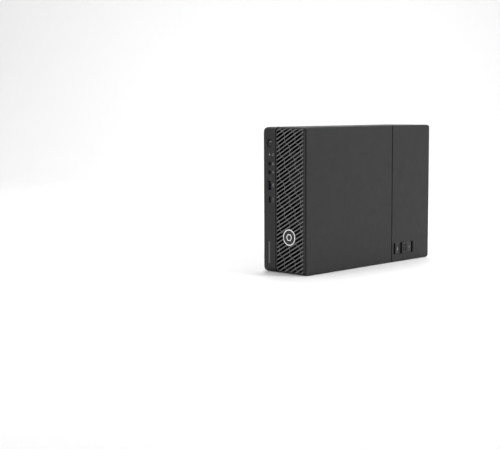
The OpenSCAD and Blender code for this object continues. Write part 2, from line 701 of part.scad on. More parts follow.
// Power inlet: a stepped round bore with the contact pin deep inside.
module dc_inlet() color("#151517") {
    difference() {
        block([board_x, socket_y0, dc_z - 6.2], [board_x + 12, socket_y1, dc_z + 6.2]);
        rod_y(socket_y1 - 7, socket_y1 + 1, board_x + 6, dc_z, 3.75);
        rod_y(socket_y1 - 13, socket_y1, board_x + 6, dc_z, 2.8);
    }
    rod_y(socket_y1 - 13.1, socket_y1 - 7.4, board_x + 6, dc_z, 0.5);
}

module display_ports() color("#9c9ea1") for (z = display_z) {
    difference() {
        block([board_x, socket_y0, z - 8.9], [board_x + 7, socket_y1, z + 8.9]);
        block([board_x + 0.9, socket_y1 - 11, z - 8.1], [board_x + 6.1, socket_y1 + 1, z + 8.1]);
    }
    block([board_x + 2.9, socket_y1 - 11.1, z - 6.4], [board_x + 4.3, socket_y1 - 3, z + 6.4]);
}

usb_shelf = 7.7;

module rear_usb_shells() color("#a9abad") for (z = usb_z) difference() {
    block([board_x, socket_y0, z - 6.8], [board_x + 15.8, socket_y1, z + 6.8]);
    for (i = [0, 1]) block([board_x + 1.2 + usb_shelf * i, socket_y1 - 12, z - 6.1],
                           [board_x + 6.6 + usb_shelf * i, socket_y1 + 1, z + 6.1]);
}

module rear_usb_tongues() color("#1d1d20") for (z = usb_z, i = [0, 1])
    block([board_x + 3.7 + usb_shelf * i, socket_y1 - 12, z - 5.5],
          [board_x + 5.6 + usb_shelf * i, socket_y1 - 2.6, z + 5.5]);

module network_jack() color("#a3a5a8") difference() {
    block([board_x, socket_y0 - 2, lan_z - 8.2], [board_x + 13.6, socket_y1, lan_z + 8.2]);
    block([board_x + 2.2, socket_y1 - 13, lan_z - 6], [board_x + 9.6, socket_y1 + 1, lan_z + 6]);
    block([board_x + 9, socket_y1 - 13, lan_z - 3.2], [board_x + 11.4, socket_y1 + 1, lan_z + 3.2]);
}

module riser_socket() color("#1c1c1e") difference() {
    block([board_x, riser_y0 + 1, riser_z - 2.9], [board_x + 9.5, riser_y1 - 1, riser_z + 4.5]);
    block([board_x + 3, riser_y0 + 2, riser_z - fit], [board_x + 10, riser_y1 - 2, riser_z + 1.6 + fit]);
}

// Riser: a board that stands up from the system board, with the slot for the graphics card.
module riser_card() {
    color("#123c2a")
        block([board_x + 3.2, riser_y0 + 2.5, riser_z], [board_x + 9.6, riser_y1 - 2.5, riser_z + 1.6]);
    color("#123c2a") block([board_x + 9.6, riser_y0, riser_z], [card_x + 10, riser_y1, riser_z + 1.6]);
    color("#1c1c1e") difference() {
        block([card_x - 3, riser_y0 + 3, riser_z + 1.5], [card_x + 4.6, riser_y1 - 2, riser_z + 12.6]);
        block([card_x - 0.1, riser_y0 + 4, riser_z + 5.6], [card_x + 1.7, riser_y1 - 3, riser_z + 13]);
    }
}

module graphics_board() color("#15171a") {
    block([card_x, riser_y0 + 4.2, riser_z + 6], [card_x + 1.6, riser_y1 - 3.2, riser_z + 13.8]);
    block([card_x, card_y0, riser_z + 13.7], [card_x + 1.6, card_y1, card_z1]);
}

// Base plate with fins behind the fan, and the fan's fixed shaft.
module graphics_heatsink() color("#b4b7ba") {
    block([card_x + 1.65, card_y0 + 4, 113], [card_x + 3.6, card_y1 - 13, card_z1 - 4]);
    for (i = [0:12])
        block([card_x + 3.5, card_fan_y + 27, 115.4 + 4 * i], [card_x + 15, card_y1 - 15, 116.4 + 4 * i]);
    rod_x(card_x + 3.5, card_x + 14, card_fan_y, card_fan_z, 1.5);
}

module graphics_shroud() color("#1e1f22") difference() {
    block([card_x + 3.7, card_y0 + 2, 111.4], [card_x + 18, card_y1 - 12, card_z1 - 1]);
    block([card_x + 2, card_y0 + 3.6, 113], [card_x + 16.4, card_y1 - 11, card_z1 - 2.6]);
    rod_x(card_x, card_x + 20, card_fan_y, card_fan_z, graphics_fan_r + 1.2);
}

module graphics_fan() color("#26272b") translate([0, card_fan_y, card_fan_z]) {
    difference() {
        rod_x(card_x + 6, card_x + 16.6, 0, 0, 9.5);
        rod_x(card_x + 5, card_x + 14.6, 0, 0, 1.55);
    }
    for (i = [0:graphics_blades - 1]) rotate([360 / graphics_blades * i, 0, 0])
        along_x(card_x + 7, card_x + 15.6) translate([8.6, 0]) rotate(20) square([graphics_fan_r - 9.6, 1]);
}

// Slotted steel bracket that closes the card's window in the rear panel.
module graphics_bracket() color("#b7babd") difference() {
    block([card_x - 3.4, y_rear - steel - 1.1, 101.5], [card_x + 15, y_rear - steel - fit, bracket_z + 3.6]);
    along_y(y_rear - 4, y_rear) {
        for (z = [116, 131, 146, 161]) translate([card_x + 5.4, z]) square([6, 9], center = true);
        for (i = [0:8]) translate([card_x + 11, 110 + 7.6 * i]) square([2, 4.6], center = true);
        translate([card_x + 5.8, bracket_z]) circle(1.45);
    }
}

// Screw that holds the bracket to the rear panel.
module bracket_screw() color("silver") translate([card_x + 5.8, 0, bracket_z]) {
    rod_y(y_rear - 5, y_rear + fit, 0, 0, 1.4);
    difference() {
        rod_y(y_rear + fit, y_rear + 1.8, 0, 0, 2.8);
        for (a = [0, 90]) rotate([0, a, 0]) block([-1.6, y_rear + 0.9, -0.3], [1.6, y_rear + 2, 0.3]);
    }
}

module graphics_ports() color("#9c9ea1") for (z = [116, 131, 146, 161]) difference() {
    block([card_x + 2.6, y_rear - 17, z - 4.3], [card_x + 8.2, y_rear - 0.8, z + 4.3]);
    block([card_x + 3.2, y_rear - 11, z - 3.7], [card_x + 7.6, y_rear, z + 3.7]);
}

module cable_cover_body(t) intersection() {
    along_y(cover_y0 - 10 * sign(t), y_end - t)
        soft_rect([x_tray + t, t], [x_cover - t, case_h - t], [bend_r - t, 2, 2, bend_r - t]);
    along_z(t, case_h - t)
        soft_rect([x_tray + t, cover_y0 - 10 * sign(t)], [x_cover - t, y_end - t],
            [0, 0, tail_side_r - t / 2, tail_side_r - t / 2]);
    along_x(x_tray, x_cover)
        soft_rect([cover_y0 - 10 * sign(t), t], [y_end - t, case_h - t], [0, tail_r - t, tail_r - t, 0]);
}

// Hollow cover over the rear sockets: cable exit on the mounting side, slots behind, latch pocket on the
// outside.
module cable_cover() color("#3c3c3e") difference() {
    union() {
        difference() {
            cable_cover_body(0);
            cable_cover_body(cover_wall);
        }
        block([latch_floor_x - 1.6, latch_y0 - 2, latch_z0 - 2],
            [x_cover - 1, latch_y1 + 2, latch_z0 + latch_h + 2]);
        for (z = [cover_wall - 0.1, case_h - 14 - cover_wall + 0.1])
            block([0, cover_y0 + 3, z], [12, cover_y0 + 14, z + 14]);
        for (z = [4.2, case_h - 6.2]) block([0, y_rear - 6, z], [12, cover_y0 + 4, z + 2]);
    }
    along_x(latch_floor_x, x_cover + 1)
        soft_rect([latch_y0, latch_z0], [latch_y1, latch_z0 + latch_h], [3, 1.5, 1.5, 3]);
    block([latch_floor_x - 3, release_y0 + 5, latch_z0 + 5],
        [latch_floor_x + 1, release_y0 + 16, latch_z0 + 11]);
    block([latch_floor_x - 3, lock_y0 + 3.1, latch_z0 + 5], [latch_floor_x + 1, lock_y0 + 12, latch_z0 + 11]);
    along_x(x_tray - 1, x_tray + 3)
        soft_rect([y_rear + 16, 16], [y_rear + 66, 72], [5, 5, 5, 5]);
    for (row = [0:17]) for (column = [-1, 1]) along_y(y_end - 3, y_end + 1)
        translate([column * 11.5, 26 + 8 * row]) rotate(90) stadium(3, 19);
    for (z = [cover_wall + 4.2, case_h - cover_wall - 14])
        block([1.5, cover_y0 + 4.4, z], [10.5, cover_y0 + 16, z + 9.8]);
}

// A latch tile with ribs, a neck through the pocket's floor and a foot that holds it in.
module latch_tile(y0, y1, neck_y, neck_l) {
    along_x(latch_floor_x + 0.2, x_cover - 0.5)
        soft_rect([y0, latch_z0 + 0.4], [y1, latch_z0 + latch_h - 0.4], [1.2, 1.2, 1.2, 1.2]);
    block([latch_floor_x - 1.9, neck_y, latch_z0 + 5.3],
        [latch_floor_x + 0.3, neck_y + neck_l, latch_z0 + 10.7]);
    block([latch_floor_x - 3.1, neck_y - 0.5, latch_z0 + 3.5],
        [latch_floor_x - 1.8, neck_y + neck_l + 0.5, latch_z0 + 12.5]);
}

module lock_slider() color("#464648") latch_tile(lock_y0, lock_y1, lock_y0 + 3.4, 5);
module release_slider() color("#464648") latch_tile(release_y0, release_y1, release_y0 + 5.4, 6);

chassis_tray();
rear_panel();
front_frame();
side_cover();
front_bezel();
front_grille();
front_badge();
label_strip();
rubber_feet();
mounting_inserts();
thumbscrew();
power_button();
power_switch();
activity_light();
headset_jack();
line_out_jack();
front_usb_a_shell();
front_usb_a_tongue();
front_usb_c_port();
system_board();
board_standoffs();
board_screws();
processor_socket();
processor();
heatsink();
heatsink_screws();
blower_housing();
blower_impeller();
blower_cable();
memory_sockets();
memory_module_lower();
memory_module_upper();
ssd_socket();
ssd_module();
wireless_card();
antenna_cables();
coin_cell_holder();
coin_cell();
chipset_heatsink();
regulator_chokes();
capacitors();
board_headers();
speaker();
dc_inlet();
display_ports();
rear_usb_shells();
rear_usb_tongues();
network_jack();
riser_socket();
riser_card();
graphics_board();
graphics_heatsink();
graphics_shroud();
graphics_fan();
graphics_bracket();
bracket_screw();
graphics_ports();
cable_cover();
lock_slider();
release_slider();
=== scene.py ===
"""Looks of the upright mini computer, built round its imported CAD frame."""

import json
import math
import random

import bmesh
import bpy
from mathutils import Matrix, Vector


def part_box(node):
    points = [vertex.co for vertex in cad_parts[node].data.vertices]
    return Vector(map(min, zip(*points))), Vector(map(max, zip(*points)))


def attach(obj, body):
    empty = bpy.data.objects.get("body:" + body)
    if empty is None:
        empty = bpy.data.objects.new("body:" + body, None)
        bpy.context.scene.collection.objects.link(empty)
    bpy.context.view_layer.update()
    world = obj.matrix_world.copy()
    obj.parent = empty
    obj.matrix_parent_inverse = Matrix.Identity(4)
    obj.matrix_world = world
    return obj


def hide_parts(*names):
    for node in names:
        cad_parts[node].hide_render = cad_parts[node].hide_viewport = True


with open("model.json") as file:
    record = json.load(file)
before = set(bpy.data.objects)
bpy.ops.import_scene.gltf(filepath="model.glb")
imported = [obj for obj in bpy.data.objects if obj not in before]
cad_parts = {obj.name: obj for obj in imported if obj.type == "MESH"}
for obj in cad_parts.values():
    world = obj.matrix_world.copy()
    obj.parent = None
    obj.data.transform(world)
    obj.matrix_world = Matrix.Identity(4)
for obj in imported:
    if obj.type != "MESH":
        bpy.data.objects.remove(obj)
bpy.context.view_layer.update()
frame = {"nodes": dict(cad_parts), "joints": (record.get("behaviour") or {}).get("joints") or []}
NODES = frame["nodes"]
MM = 0.001


def box_mm(node):
    """A CAD node's lowest and highest corners, in millimetres."""
    low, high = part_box(node)
    return low / MM, high / MM


def middle(node):
    low, high = box_mm(node)
    return (low + high) / 2


CASE_LOW, CASE_HIGH = box_mm("chassis_tray")
FRONT = box_mm("front_bezel")[0].y
REAR = CASE_HIGH.y
TOP = CASE_HIGH.z
BOARD = box_mm("system_board")[1].x
PORT_X = middle("front_usb_a_shell").x
SPIN = {j["name"]: Vector(j["pos_m"]) / MM for j in frame["joints"] if j["type"] == "hinge"}

# The grille's slots, as the CAD model cuts them: slope, distance across, width and the middle of one slot.
SLOT_ANGLE = 29.7
SLOT_PITCH = 4.69
SLOT_WIDTH = 3.2
SLOT_X = CASE_LOW.x + 45.6
SLOT_Z = TOP - 59.4

# The camera's focal length and place in millimetres, and its pitch, roll and yaw in degrees.
CAMERA_LENS = 79.79
CAMERA_PLACE = (970.8, -1168.7, 212.2)
CAMERA_TURN = (5.951, -0.266, -44.889)

# How far a printed mark stands out of its face, and the distance at which a node's corners are joined.
PRINT_DEPTH = 0.01
WELD_DISTANCE = 0.01


# ---- camera, floor and light

def add_camera():
    camera = bpy.data.objects.new("camera", bpy.data.cameras.new("camera"))
    camera.data.lens = CAMERA_LENS
    camera.data.sensor_width = 36
    camera.data.clip_start = 0.05
    camera.data.clip_end = 30
    pitch, roll, yaw = (math.radians(a) for a in CAMERA_TURN)
    turn = Matrix.Rotation(-yaw, 3, "Z") @ Matrix.Rotation(-pitch, 3, "X")
    turn = turn @ Matrix.Rotation(-roll, 3, "Y") @ Matrix.Rotation(math.pi / 2, 3, "X")
    camera.matrix_world = Matrix.Translation(Vector(CAMERA_PLACE) * MM) @ turn.to_4x4()
    bpy.context.scene.collection.objects.link(camera)
    bpy.context.scene.camera = camera


def add_area_light(name, place, target, size, power):
    data = bpy.data.lights.new(name, "AREA")
    data.shape = "RECTANGLE"
    data.size, data.size_y = size
    data.energy = power
    light = bpy.data.objects.new(name, data)
    aim = (Vector(target) - Vector(place)).to_track_quat("-Z", "Y")
    light.matrix_world = Matrix.Translation(place) @ aim.to_matrix().to_4x4()
    bpy.context.scene.collection.objects.link(light)


def add_stage():
    """A pale floor that curves up behind the object, and soft light from the right, the front and above."""
    floor_half, curve_start, curve_radius, wall_top, steps = 9.0, 1.6, 0.7, 2.6, 16
    side = [(-floor_half, 0.0)]
    side += [(curve_start + curve_radius * math.sin(a), curve_radius * (1 - math.cos(a)))
             for a in (math.pi / 2 * i / steps for i in range(steps + 1))]
    side.append((curve_start + curve_radius, wall_top))
    bm = bmesh.new()
    rows = [[bm.verts.new((x, y, z)) for y, z in side] for x in (-floor_half, floor_half)]
    for i in range(len(side) - 1):
        bm.faces.new((rows[0][i], rows[1][i], rows[1][i + 1], rows[0][i + 1]))
    mesh = bpy.data.meshes.new("floor")
    bm.to_mesh(mesh)
    bm.free()
    for face in mesh.polygons:
        face.use_smooth = True
    floor = bpy.data.objects.new("floor", mesh)
    floor.data.materials.append(MATERIALS["floor"])
    floor.matrix_world = Matrix.Rotation(math.radians(40), 4, "Z")
    bpy.context.scene.collection.objects.link(floor)
    centre = (0, 0, 0.09)
    add_area_light("key", (0.62, 0.3, 0.72), (0, 0.03, 0.12), (0.4, 0.4), 6)
    add_area_light("front_fill", (-0.6, -1.9, 0.8), centre, (1.2, 1.0), 14)
    add_area_light("top", (-0.3, 0.2, 2.0), (-0.3, 0.21, 0), (1.4, 1.4), 16)
    add_area_light("backdrop", (-0.8, 0.95, 2.3), (-0.8, 0.96, 0), (2.0, 1.4), 26)
    world = bpy.data.worlds.new("studio")
    world.use_nodes = True
    world.node_tree.nodes["Background"].inputs["Color"].default_value = (1, 1, 1, 1)
    world.node_tree.nodes["Background"].inputs["Strength"].default_value = 0.42
    bpy.context.scene.world = world
    bpy.context.scene.view_settings.view_transform = "Standard"


# ---- materials

class Shader:
    """A Principled material whose nodes are added one by one, in the object's own metres."""

    def __init__(self, name, color, metallic=0.0, roughness=0.5, coat=0.0, transmission=0.0, specular=0.5):
        self.name = name
        self.material = bpy.data.materials.new(name)
        self.material.use_nodes = True
        self.tree = self.material.node_tree
        self.main = self.tree.nodes["Principled BSDF"]
        self.color = color
        self.main.inputs["Base Color"].default_value = (*color, 1)
        self.main.inputs["Metallic"].default_value = metallic
        self.main.inputs["Roughness"].default_value = roughness
        self.main.inputs["Coat Weight"].default_value = coat
        self.main.inputs["Coat Roughness"].default_value = 0.12
        self.main.inputs["Transmission Weight"].default_value = transmission
        self.main.inputs["Specular IOR Level"].default_value = specular
        self.place = self.node("ShaderNodeTexCoord").outputs["Object"]
        self.height = None

    def node(self, kind, **settings):
        made = self.tree.nodes.new(kind)
        for key, value in settings.items():
            setattr(made, key, value)
        return made

    def feed(self, socket, value):
        if isinstance(value, bpy.types.NodeSocket):
            self.tree.links.new(value, socket)
        else:
            socket.default_value = value

    def noise(self, size_mm, detail=2.0, stretch=(1, 1, 1)):
        """Soft noise whose features are about size_mm across."""
        place = self.place
        if stretch != (1, 1, 1):
            mapping = self.node("ShaderNodeMapping")
            self.feed(mapping.inputs["Vector"], place)
            mapping.inputs["Scale"].default_value = stretch
            place = mapping.outputs["Vector"]
        made = self.node("ShaderNodeTexNoise")
        self.feed(made.inputs["Vector"], place)
        made.inputs["Scale"].default_value = 1 / (size_mm * MM)
        made.inputs["Detail"].default_value = detail
        return made.outputs["Fac"]

    def cells(self, size_mm, output="Distance", **settings):
        made = self.node("ShaderNodeTexVoronoi", **settings)
        self.feed(made.inputs["Vector"], self.place)
        made.inputs["Scale"].default_value = 1 / (size_mm * MM)
        return made.outputs[output]

    def span(self, value, low, high, to_low=0.0, to_high=1.0):
        made = self.node("ShaderNodeMapRange")
        made.clamp = True
        for socket, number in zip(("Value", "From Min", "From Max", "To Min", "To Max"),
                                  (value, low, high, to_low, to_high)):
            self.feed(made.inputs[socket], number)
        return made.outputs["Result"]

    def mix(self, factor, a, b):
        made = self.node("ShaderNodeMix", data_type="RGBA")
        for socket, value in zip((0, 6, 7), (factor, a, b)):
            value = (*value, 1) if isinstance(value, tuple) and len(value) == 3 else value
            self.feed(made.inputs[socket], value)
        return made.outputs[2]

    def math(self, operation, a, b=0.0):
        made = self.node("ShaderNodeMath", operation=operation)
        self.feed(made.inputs[0], a)
        self.feed(made.inputs[1], b)
        return made.outputs[0]

    def axes(self, vector):
        """The three parts of a vector."""
        made = self.node("ShaderNodeSeparateXYZ")
        self.feed(made.inputs[0], vector)
        return made.outputs["X"], made.outputs["Y"], made.outputs["Z"]

    def tint(self, factor, other):
        """Blends the surface's colour towards another one by a factor that varies over it."""
        base = self.main.inputs["Base Color"]
        now = base.links[0].from_socket if base.links else (*self.color, 1)
        self.feed(base, self.mix(factor, now, (*other, 1)))
        return self

    def blotches(self, size_mm, amount):
        """Broad, faint changes of tone, as dust and handling leave."""
        lighter = tuple(min(1, c * (1 + 2 * amount) + 0.004 * amount) for c in self.color)
        return self.tint(self.span(self.noise(size_mm, 4), 0.35, 0.65), lighter)

    def roughness(self, size_mm, low, high, stretch=(1, 1, 1)):
        self.feed(self.main.inputs["Roughness"],
                  self.span(self.noise(size_mm, 3, stretch), 0.3, 0.7, low, high))
        return self

    def bump(self, value, depth_mm, strength=1.0):
        """Raises the surface by a value from 0 to 1 times the depth."""
        made = self.node("ShaderNodeBump")
        made.inputs["Strength"].default_value = strength
        made.inputs["Distance"].default_value = depth_mm * MM
        self.feed(made.inputs["Height"], value)
        if self.height is not None:
            self.feed(made.inputs["Normal"], self.height)
        self.height = made.outputs["Normal"]
        self.feed(self.main.inputs["Normal"], self.height)
        return self

    def grain(self, size_mm, depth_mm, stretch=(1, 1, 1)):
        return self.bump(self.noise(size_mm, 2, stretch), depth_mm)


def powder_coat_and_edge_shade(name, color):
    """Fine orange-peel powder coat with sparse brighter grains, and painted shade on rounded edges, where the
    surface turns away from the axes.
    """
    s = Shader(name, color, specular=0.2)
    s.blotches(60, 0.02)
    s.tint(s.span(s.noise(0.42, 1), 0.62, 0.74, 0, 0.35), tuple(c * 2.1 for c in color))
    s.tint(s.span(s.noise(0.5, 1), 0.36, 0.24, 0, 0.5), tuple(c * 0.45 for c in color))
    s.roughness(14, 0.5, 0.62)
    s.grain(0.55, 0.055)
    # Painted shade: where the normal leans away from every axis, on rounded edges, the colour is darkened
    # towards a fifth of itself.
    x, y, z = (s.math("ABSOLUTE", part) for part in s.axes(s.node("ShaderNodeNewGeometry").outputs["Normal"]))
    flat = s.math("MAXIMUM", s.math("MAXIMUM", x, y), z)
    s.tint(s.span(flat, 0.97, 0.84, 0, 0.8), tuple(c * 0.2 for c in color))
    return s.grain(1.6, 0.03)


def moulded(name, color, low=0.42, high=0.56, depth_mm=0.02, **settings):
    """Spark-eroded moulded plastic."""
    s = Shader(name, color, **settings)
    s.blotches(30, 0.06)
    s.tint(s.span(s.noise(0.35, 2), 0.58, 0.75, 0, 0.3), tuple(c * 1.8 for c in color))
    s.roughness(9, low, high)
    return s.grain(0.4, depth_mm)


def grille_with_painted_light(name, slat_highlight_color, lit_bridge_color, wall_shade_color):
    """Satin slats with a painted highlight on their outer faces, dimmer painted light on the bridges, and
    painted shade on the walls and the left margin.
    """
    left = box_mm("front_grille")[0].x
    slope = math.radians(SLOT_ANGLE)
    s = moulded(name, wall_shade_color, 0.4, 0.5)
    x, _, z = s.axes(s.place)
    climb = s.math("SUBTRACT", s.math("MULTIPLY", z, math.cos(slope)), s.math("MULTIPLY", x, math.sin(slope)))
    start = (SLOT_Z * math.cos(slope) - SLOT_X * math.sin(slope)) * MM
    off_slot = s.math("PINGPONG", s.math("SUBTRACT", climb, start), SLOT_PITCH / 2 * MM)
    slat_core = s.span(off_slot, (SLOT_WIDTH / 2 + 0.04) * MM, (SLOT_WIDTH / 2 + 0.2) * MM)
    # Painted light: faces that look to the front get the lit bridge colour, the slats' cores the painted
    # highlight; the slot walls keep the dark shade colour.
    sideways = s.math("ABSOLUTE", s.axes(s.node("ShaderNodeNewGeometry").outputs["True Normal"])[0])
    outer = s.span(sideways, 0.12, 0.05)
    s.tint(outer, lit_bridge_color)
    s.tint(s.math("MULTIPLY", outer, slat_core), slat_highlight_color)
    # Painted shade along the grille's left margin, beside the socket strip.
    return s.tint(s.span(x, (left + 1.3) * MM, (left + 1.0) * MM), wall_shade_color)


def bezel_with_painted_shade(name, color):
    """The bezel's plastic, with painted shade where it curls over the grille's top and bottom."""
    low, high = box_mm("front_grille")
    s = moulded(name, color, 0.45, 0.58, specular=0.2)
    x, y, z = s.axes(s.place)
    away = s.math("ABSOLUTE", s.math("SUBTRACT", z, (low.z + high.z) / 2 * MM))
    beyond = s.math("GREATER_THAN", away, ((high.z - low.z) / 2 - 4) * MM)
    beside = s.math("GREATER_THAN", x, (low.x - 1.4) * MM)
    ahead = s.math("LESS_THAN", y, (low.y + 4.5) * MM)
    # Painted shade: a near-black band on the curled nose above and below the grille.
    return s.tint(s.math("MULTIPLY", s.math("MULTIPLY", beyond, beside), ahead), (0.004, 0.004, 0.004))


def plated(name, color, low=0.22, high=0.4, brush=(1, 1, 1), brush_mm=0.8, spots=0.3):
    """Plated or rolled sheet, with a faint grain along one axis and duller spots."""
    s = Shader(name, color, metallic=1.0)
    s.tint(s.span(s.noise(7, 4), 0.45, 0.75, 0, spots), tuple(c * 0.7 for c in color))
    s.roughness(brush_mm, low, high, brush)
    return s.grain(brush_mm * 0.5, 0.006, brush)


def solder_mask(name, color, copper):
    """Circuit board: lacquer over copper lines that run in two directions, dotted with vias."""
    s = Shader(name, color, roughness=0.3, coat=0.25)
    patch = s.node("ShaderNodeSeparateColor")
    s.feed(patch.inputs[0], s.cells(9, "Color", distance="CHEBYCHEV"))
    _, y, z = s.axes(s.place)
    for axis, low, high in ((y, 0.1, 0.45), (z, 0.45, 0.8)):
        line = s.math("ABSOLUTE", s.math("SINE", s.math("MULTIPLY", axis, math.pi / (0.85 * MM))))
        above, below = (s.math(way, patch.outputs[0], edge) for way,
                        edge in (("GREATER_THAN", low), ("LESS_THAN", high)))
        here = s.math("MULTIPLY", above, below)
        lines = s.math("MULTIPLY", s.span(line, 0.72, 0.86), here)
        s.tint(s.math("MULTIPLY", lines, 0.75), copper)
        s.bump(lines, 0.03, 0.5)
    s.tint(s.span(s.noise(16, 2), 0.55, 0.6, 0, 0.35), copper)
    s.tint(s.span(s.cells(3.1), 0.1, 0.07), (0.62, 0.5, 0.3))
    s.roughness(5, 0.25, 0.4)
    return s


def make_materials():
    charcoal = (0.029, 0.029, 0.0293)
    shaders = [
        Shader("floor", (0.86, 0.86, 0.86), roughness=0.6).blotches(400, 0.005),
        powder_coat_and_edge_shade("textured_steel", charcoal),
        powder_coat_and_edge_shade("cover_plastic", charcoal),
        # Bezel plastic with painted shade on its curled nose.
        bezel_with_painted_shade("bezel_plastic", (0.0195, 0.0195, 0.02)),
        # Painted shade: the front frame and speaker behind the grille are coloured near-black, so that the
        # slots look dark.
        powder_coat_and_edge_shade("frame_painted_shade", (0.004, 0.004, 0.0045)),
        moulded("latch_plastic", (0.03, 0.03, 0.0305), 0.42, 0.52, specular=0.25),
        plated("dark_metal", (0.15, 0.15, 0.155), 0.3, 0.45),
        plated("inner_steel", (0.5, 0.51, 0.53), 0.28, 0.45, (1, 1, 0.12), 1.6),
        plated("bright_metal", (0.6, 0.6, 0.61), 0.12, 0.24, (1, 1, 1), 1.2, 0.12),
        moulded("rubber", (0.014, 0.014, 0.014), 0.62, 0.8, 0.04, specular=0.3),
        plated("brass", (0.72, 0.53, 0.26), 0.2, 0.34),
        moulded("black_plastic", (0.012, 0.012, 0.013), 0.3, 0.46),
        moulded("gloss_black", (0.005, 0.005, 0.0055), 0.08, 0.16, 0.002, specular=0.4),
        Shader("light_lens", (0.36, 0.37, 0.38), roughness=0.25, transmission=0.3).grain(0.6, 0.02),
        plated("socket_metal", (0.56, 0.56, 0.57), 0.2, 0.36, (1, 0.15, 1), 1.0),
        solder_mask("circuit_board", (0.006, 0.03, 0.018), (0.012, 0.075, 0.042)),
        solder_mask("black_board", (0.006, 0.007, 0.009), (0.02, 0.022, 0.026)),
        plated("heatsink_aluminium", (0.42, 0.43, 0.445), 0.3, 0.45, (1, 0.06, 1), 1.2, 0.15),
        moulded("ferrite", (0.06, 0.06, 0.064), 0.5, 0.65),
        moulded("lead_jacket", (0.012, 0.012, 0.012), 0.3, 0.42, 0.006),
        moulded("lead_red", (0.07, 0.008, 0.007), 0.3, 0.42, 0.006),
        moulded("lead_grey", (0.045, 0.045, 0.046), 0.3, 0.42, 0.006),
        moulded("header_plastic", (0.62, 0.6, 0.54), 0.4, 0.52),
        moulded("epoxy", (0.016, 0.016, 0.018), 0.35, 0.5, 0.012),
        moulded("ceramic", (0.3, 0.2, 0.12), 0.3, 0.4, 0.006),
        moulded("print", (0.2, 0.205, 0.21), 0.5, 0.6, 0.004),
        moulded("blank_label", (0.075, 0.075, 0.078), 0.35, 0.45, 0.004),
        moulded("blank_sticker", (0.55, 0.56, 0.57), 0.4, 0.5, 0.004),
        plated("gold", (0.9, 0.68, 0.32), 0.16, 0.28),
        plated("solder", (0.7, 0.71, 0.72), 0.2, 0.35),
        moulded("blue_tongue", (0.03, 0.038, 0.09), 0.35, 0.5),
        moulded("badge_white", (0.82, 0.83, 0.84), 0.25, 0.35, 0.004),
        moulded("cap_sleeve", (0.03, 0.035, 0.06), 0.25, 0.35, 0.004),
        moulded("fan_plastic", (0.02, 0.021, 0.023), 0.28, 0.4, 0.01),
        # Grille colours: painted highlight on the slats, lit bridges, painted shade on the walls.
        grille_with_painted_light("grille_with_painted_light", (0.125, 0.125, 0.127), (0.042, 0.042, 0.043), (0.003, 0.003, 0.003)),
    ]
    return {s.name: s.material for s in shaders}


MATERIALS = make_materials()


# ---- mesh building, in millimetres

def soft_rect(low, high, r, steps=5):
    """Corners of a rounded rectangle, anticlockwise. r is one radius, or four from the lower left."""
    radii = r if isinstance(r, (tuple, list)) else (r,) * 4
    corners = [(low[0], low[1], 1, 1, 180), (high[0], low[1], -1, 1, 270), (high[0], high[1], -1, -1, 0),
               (low[0], high[1], 1, -1, 90)]
    points = []
    for (x, y, sx, sy, start), q in zip(corners, radii):
        if q <= 0:
            points.append((x, y))
            continue
        for i in range(steps + 1):
            a = math.radians(start + 90 * i / steps)
            points.append((x + sx * q + q * math.cos(a), y + sy * q + q * math.sin(a)))
    return points


def ring(centre, r, count=32):
    return [(centre[0] + r * math.cos(2 * math.pi * i / count),
             centre[1] + r * math.sin(2 * math.pi * i / count)) for i in range(count)]


def arc(centre, r, start, end, count=12):
    angles = [math.radians(start + (end - start) * i / count) for i in range(count + 1)]
    return [(centre[0] + r * math.cos(a), centre[1] + r * math.sin(a)) for a in angles]


def band(points, width):
    """Outline of a line drawn with a width."""
    left, right = [], []
    for i, p in enumerate(points):
        a, b = points[max(i - 1, 0)], points[min(i + 1, len(points) - 1)]
        length = math.hypot(b[0] - a[0], b[1] - a[1])
        nx, ny = -(b[1] - a[1]) / length * width / 2, (b[0] - a[0]) / length * width / 2
        left.append((p[0] + nx, p[1] + ny))
        right.append((p[0] - nx, p[1] - ny))
    return right + left[::-1]


AXIS_TURN = {
    "x": lambda u, v, w: (w, u, v),
    "y": lambda u, v, w: (u, w, v),
    "z": lambda u, v, w: (u, v, w),
}


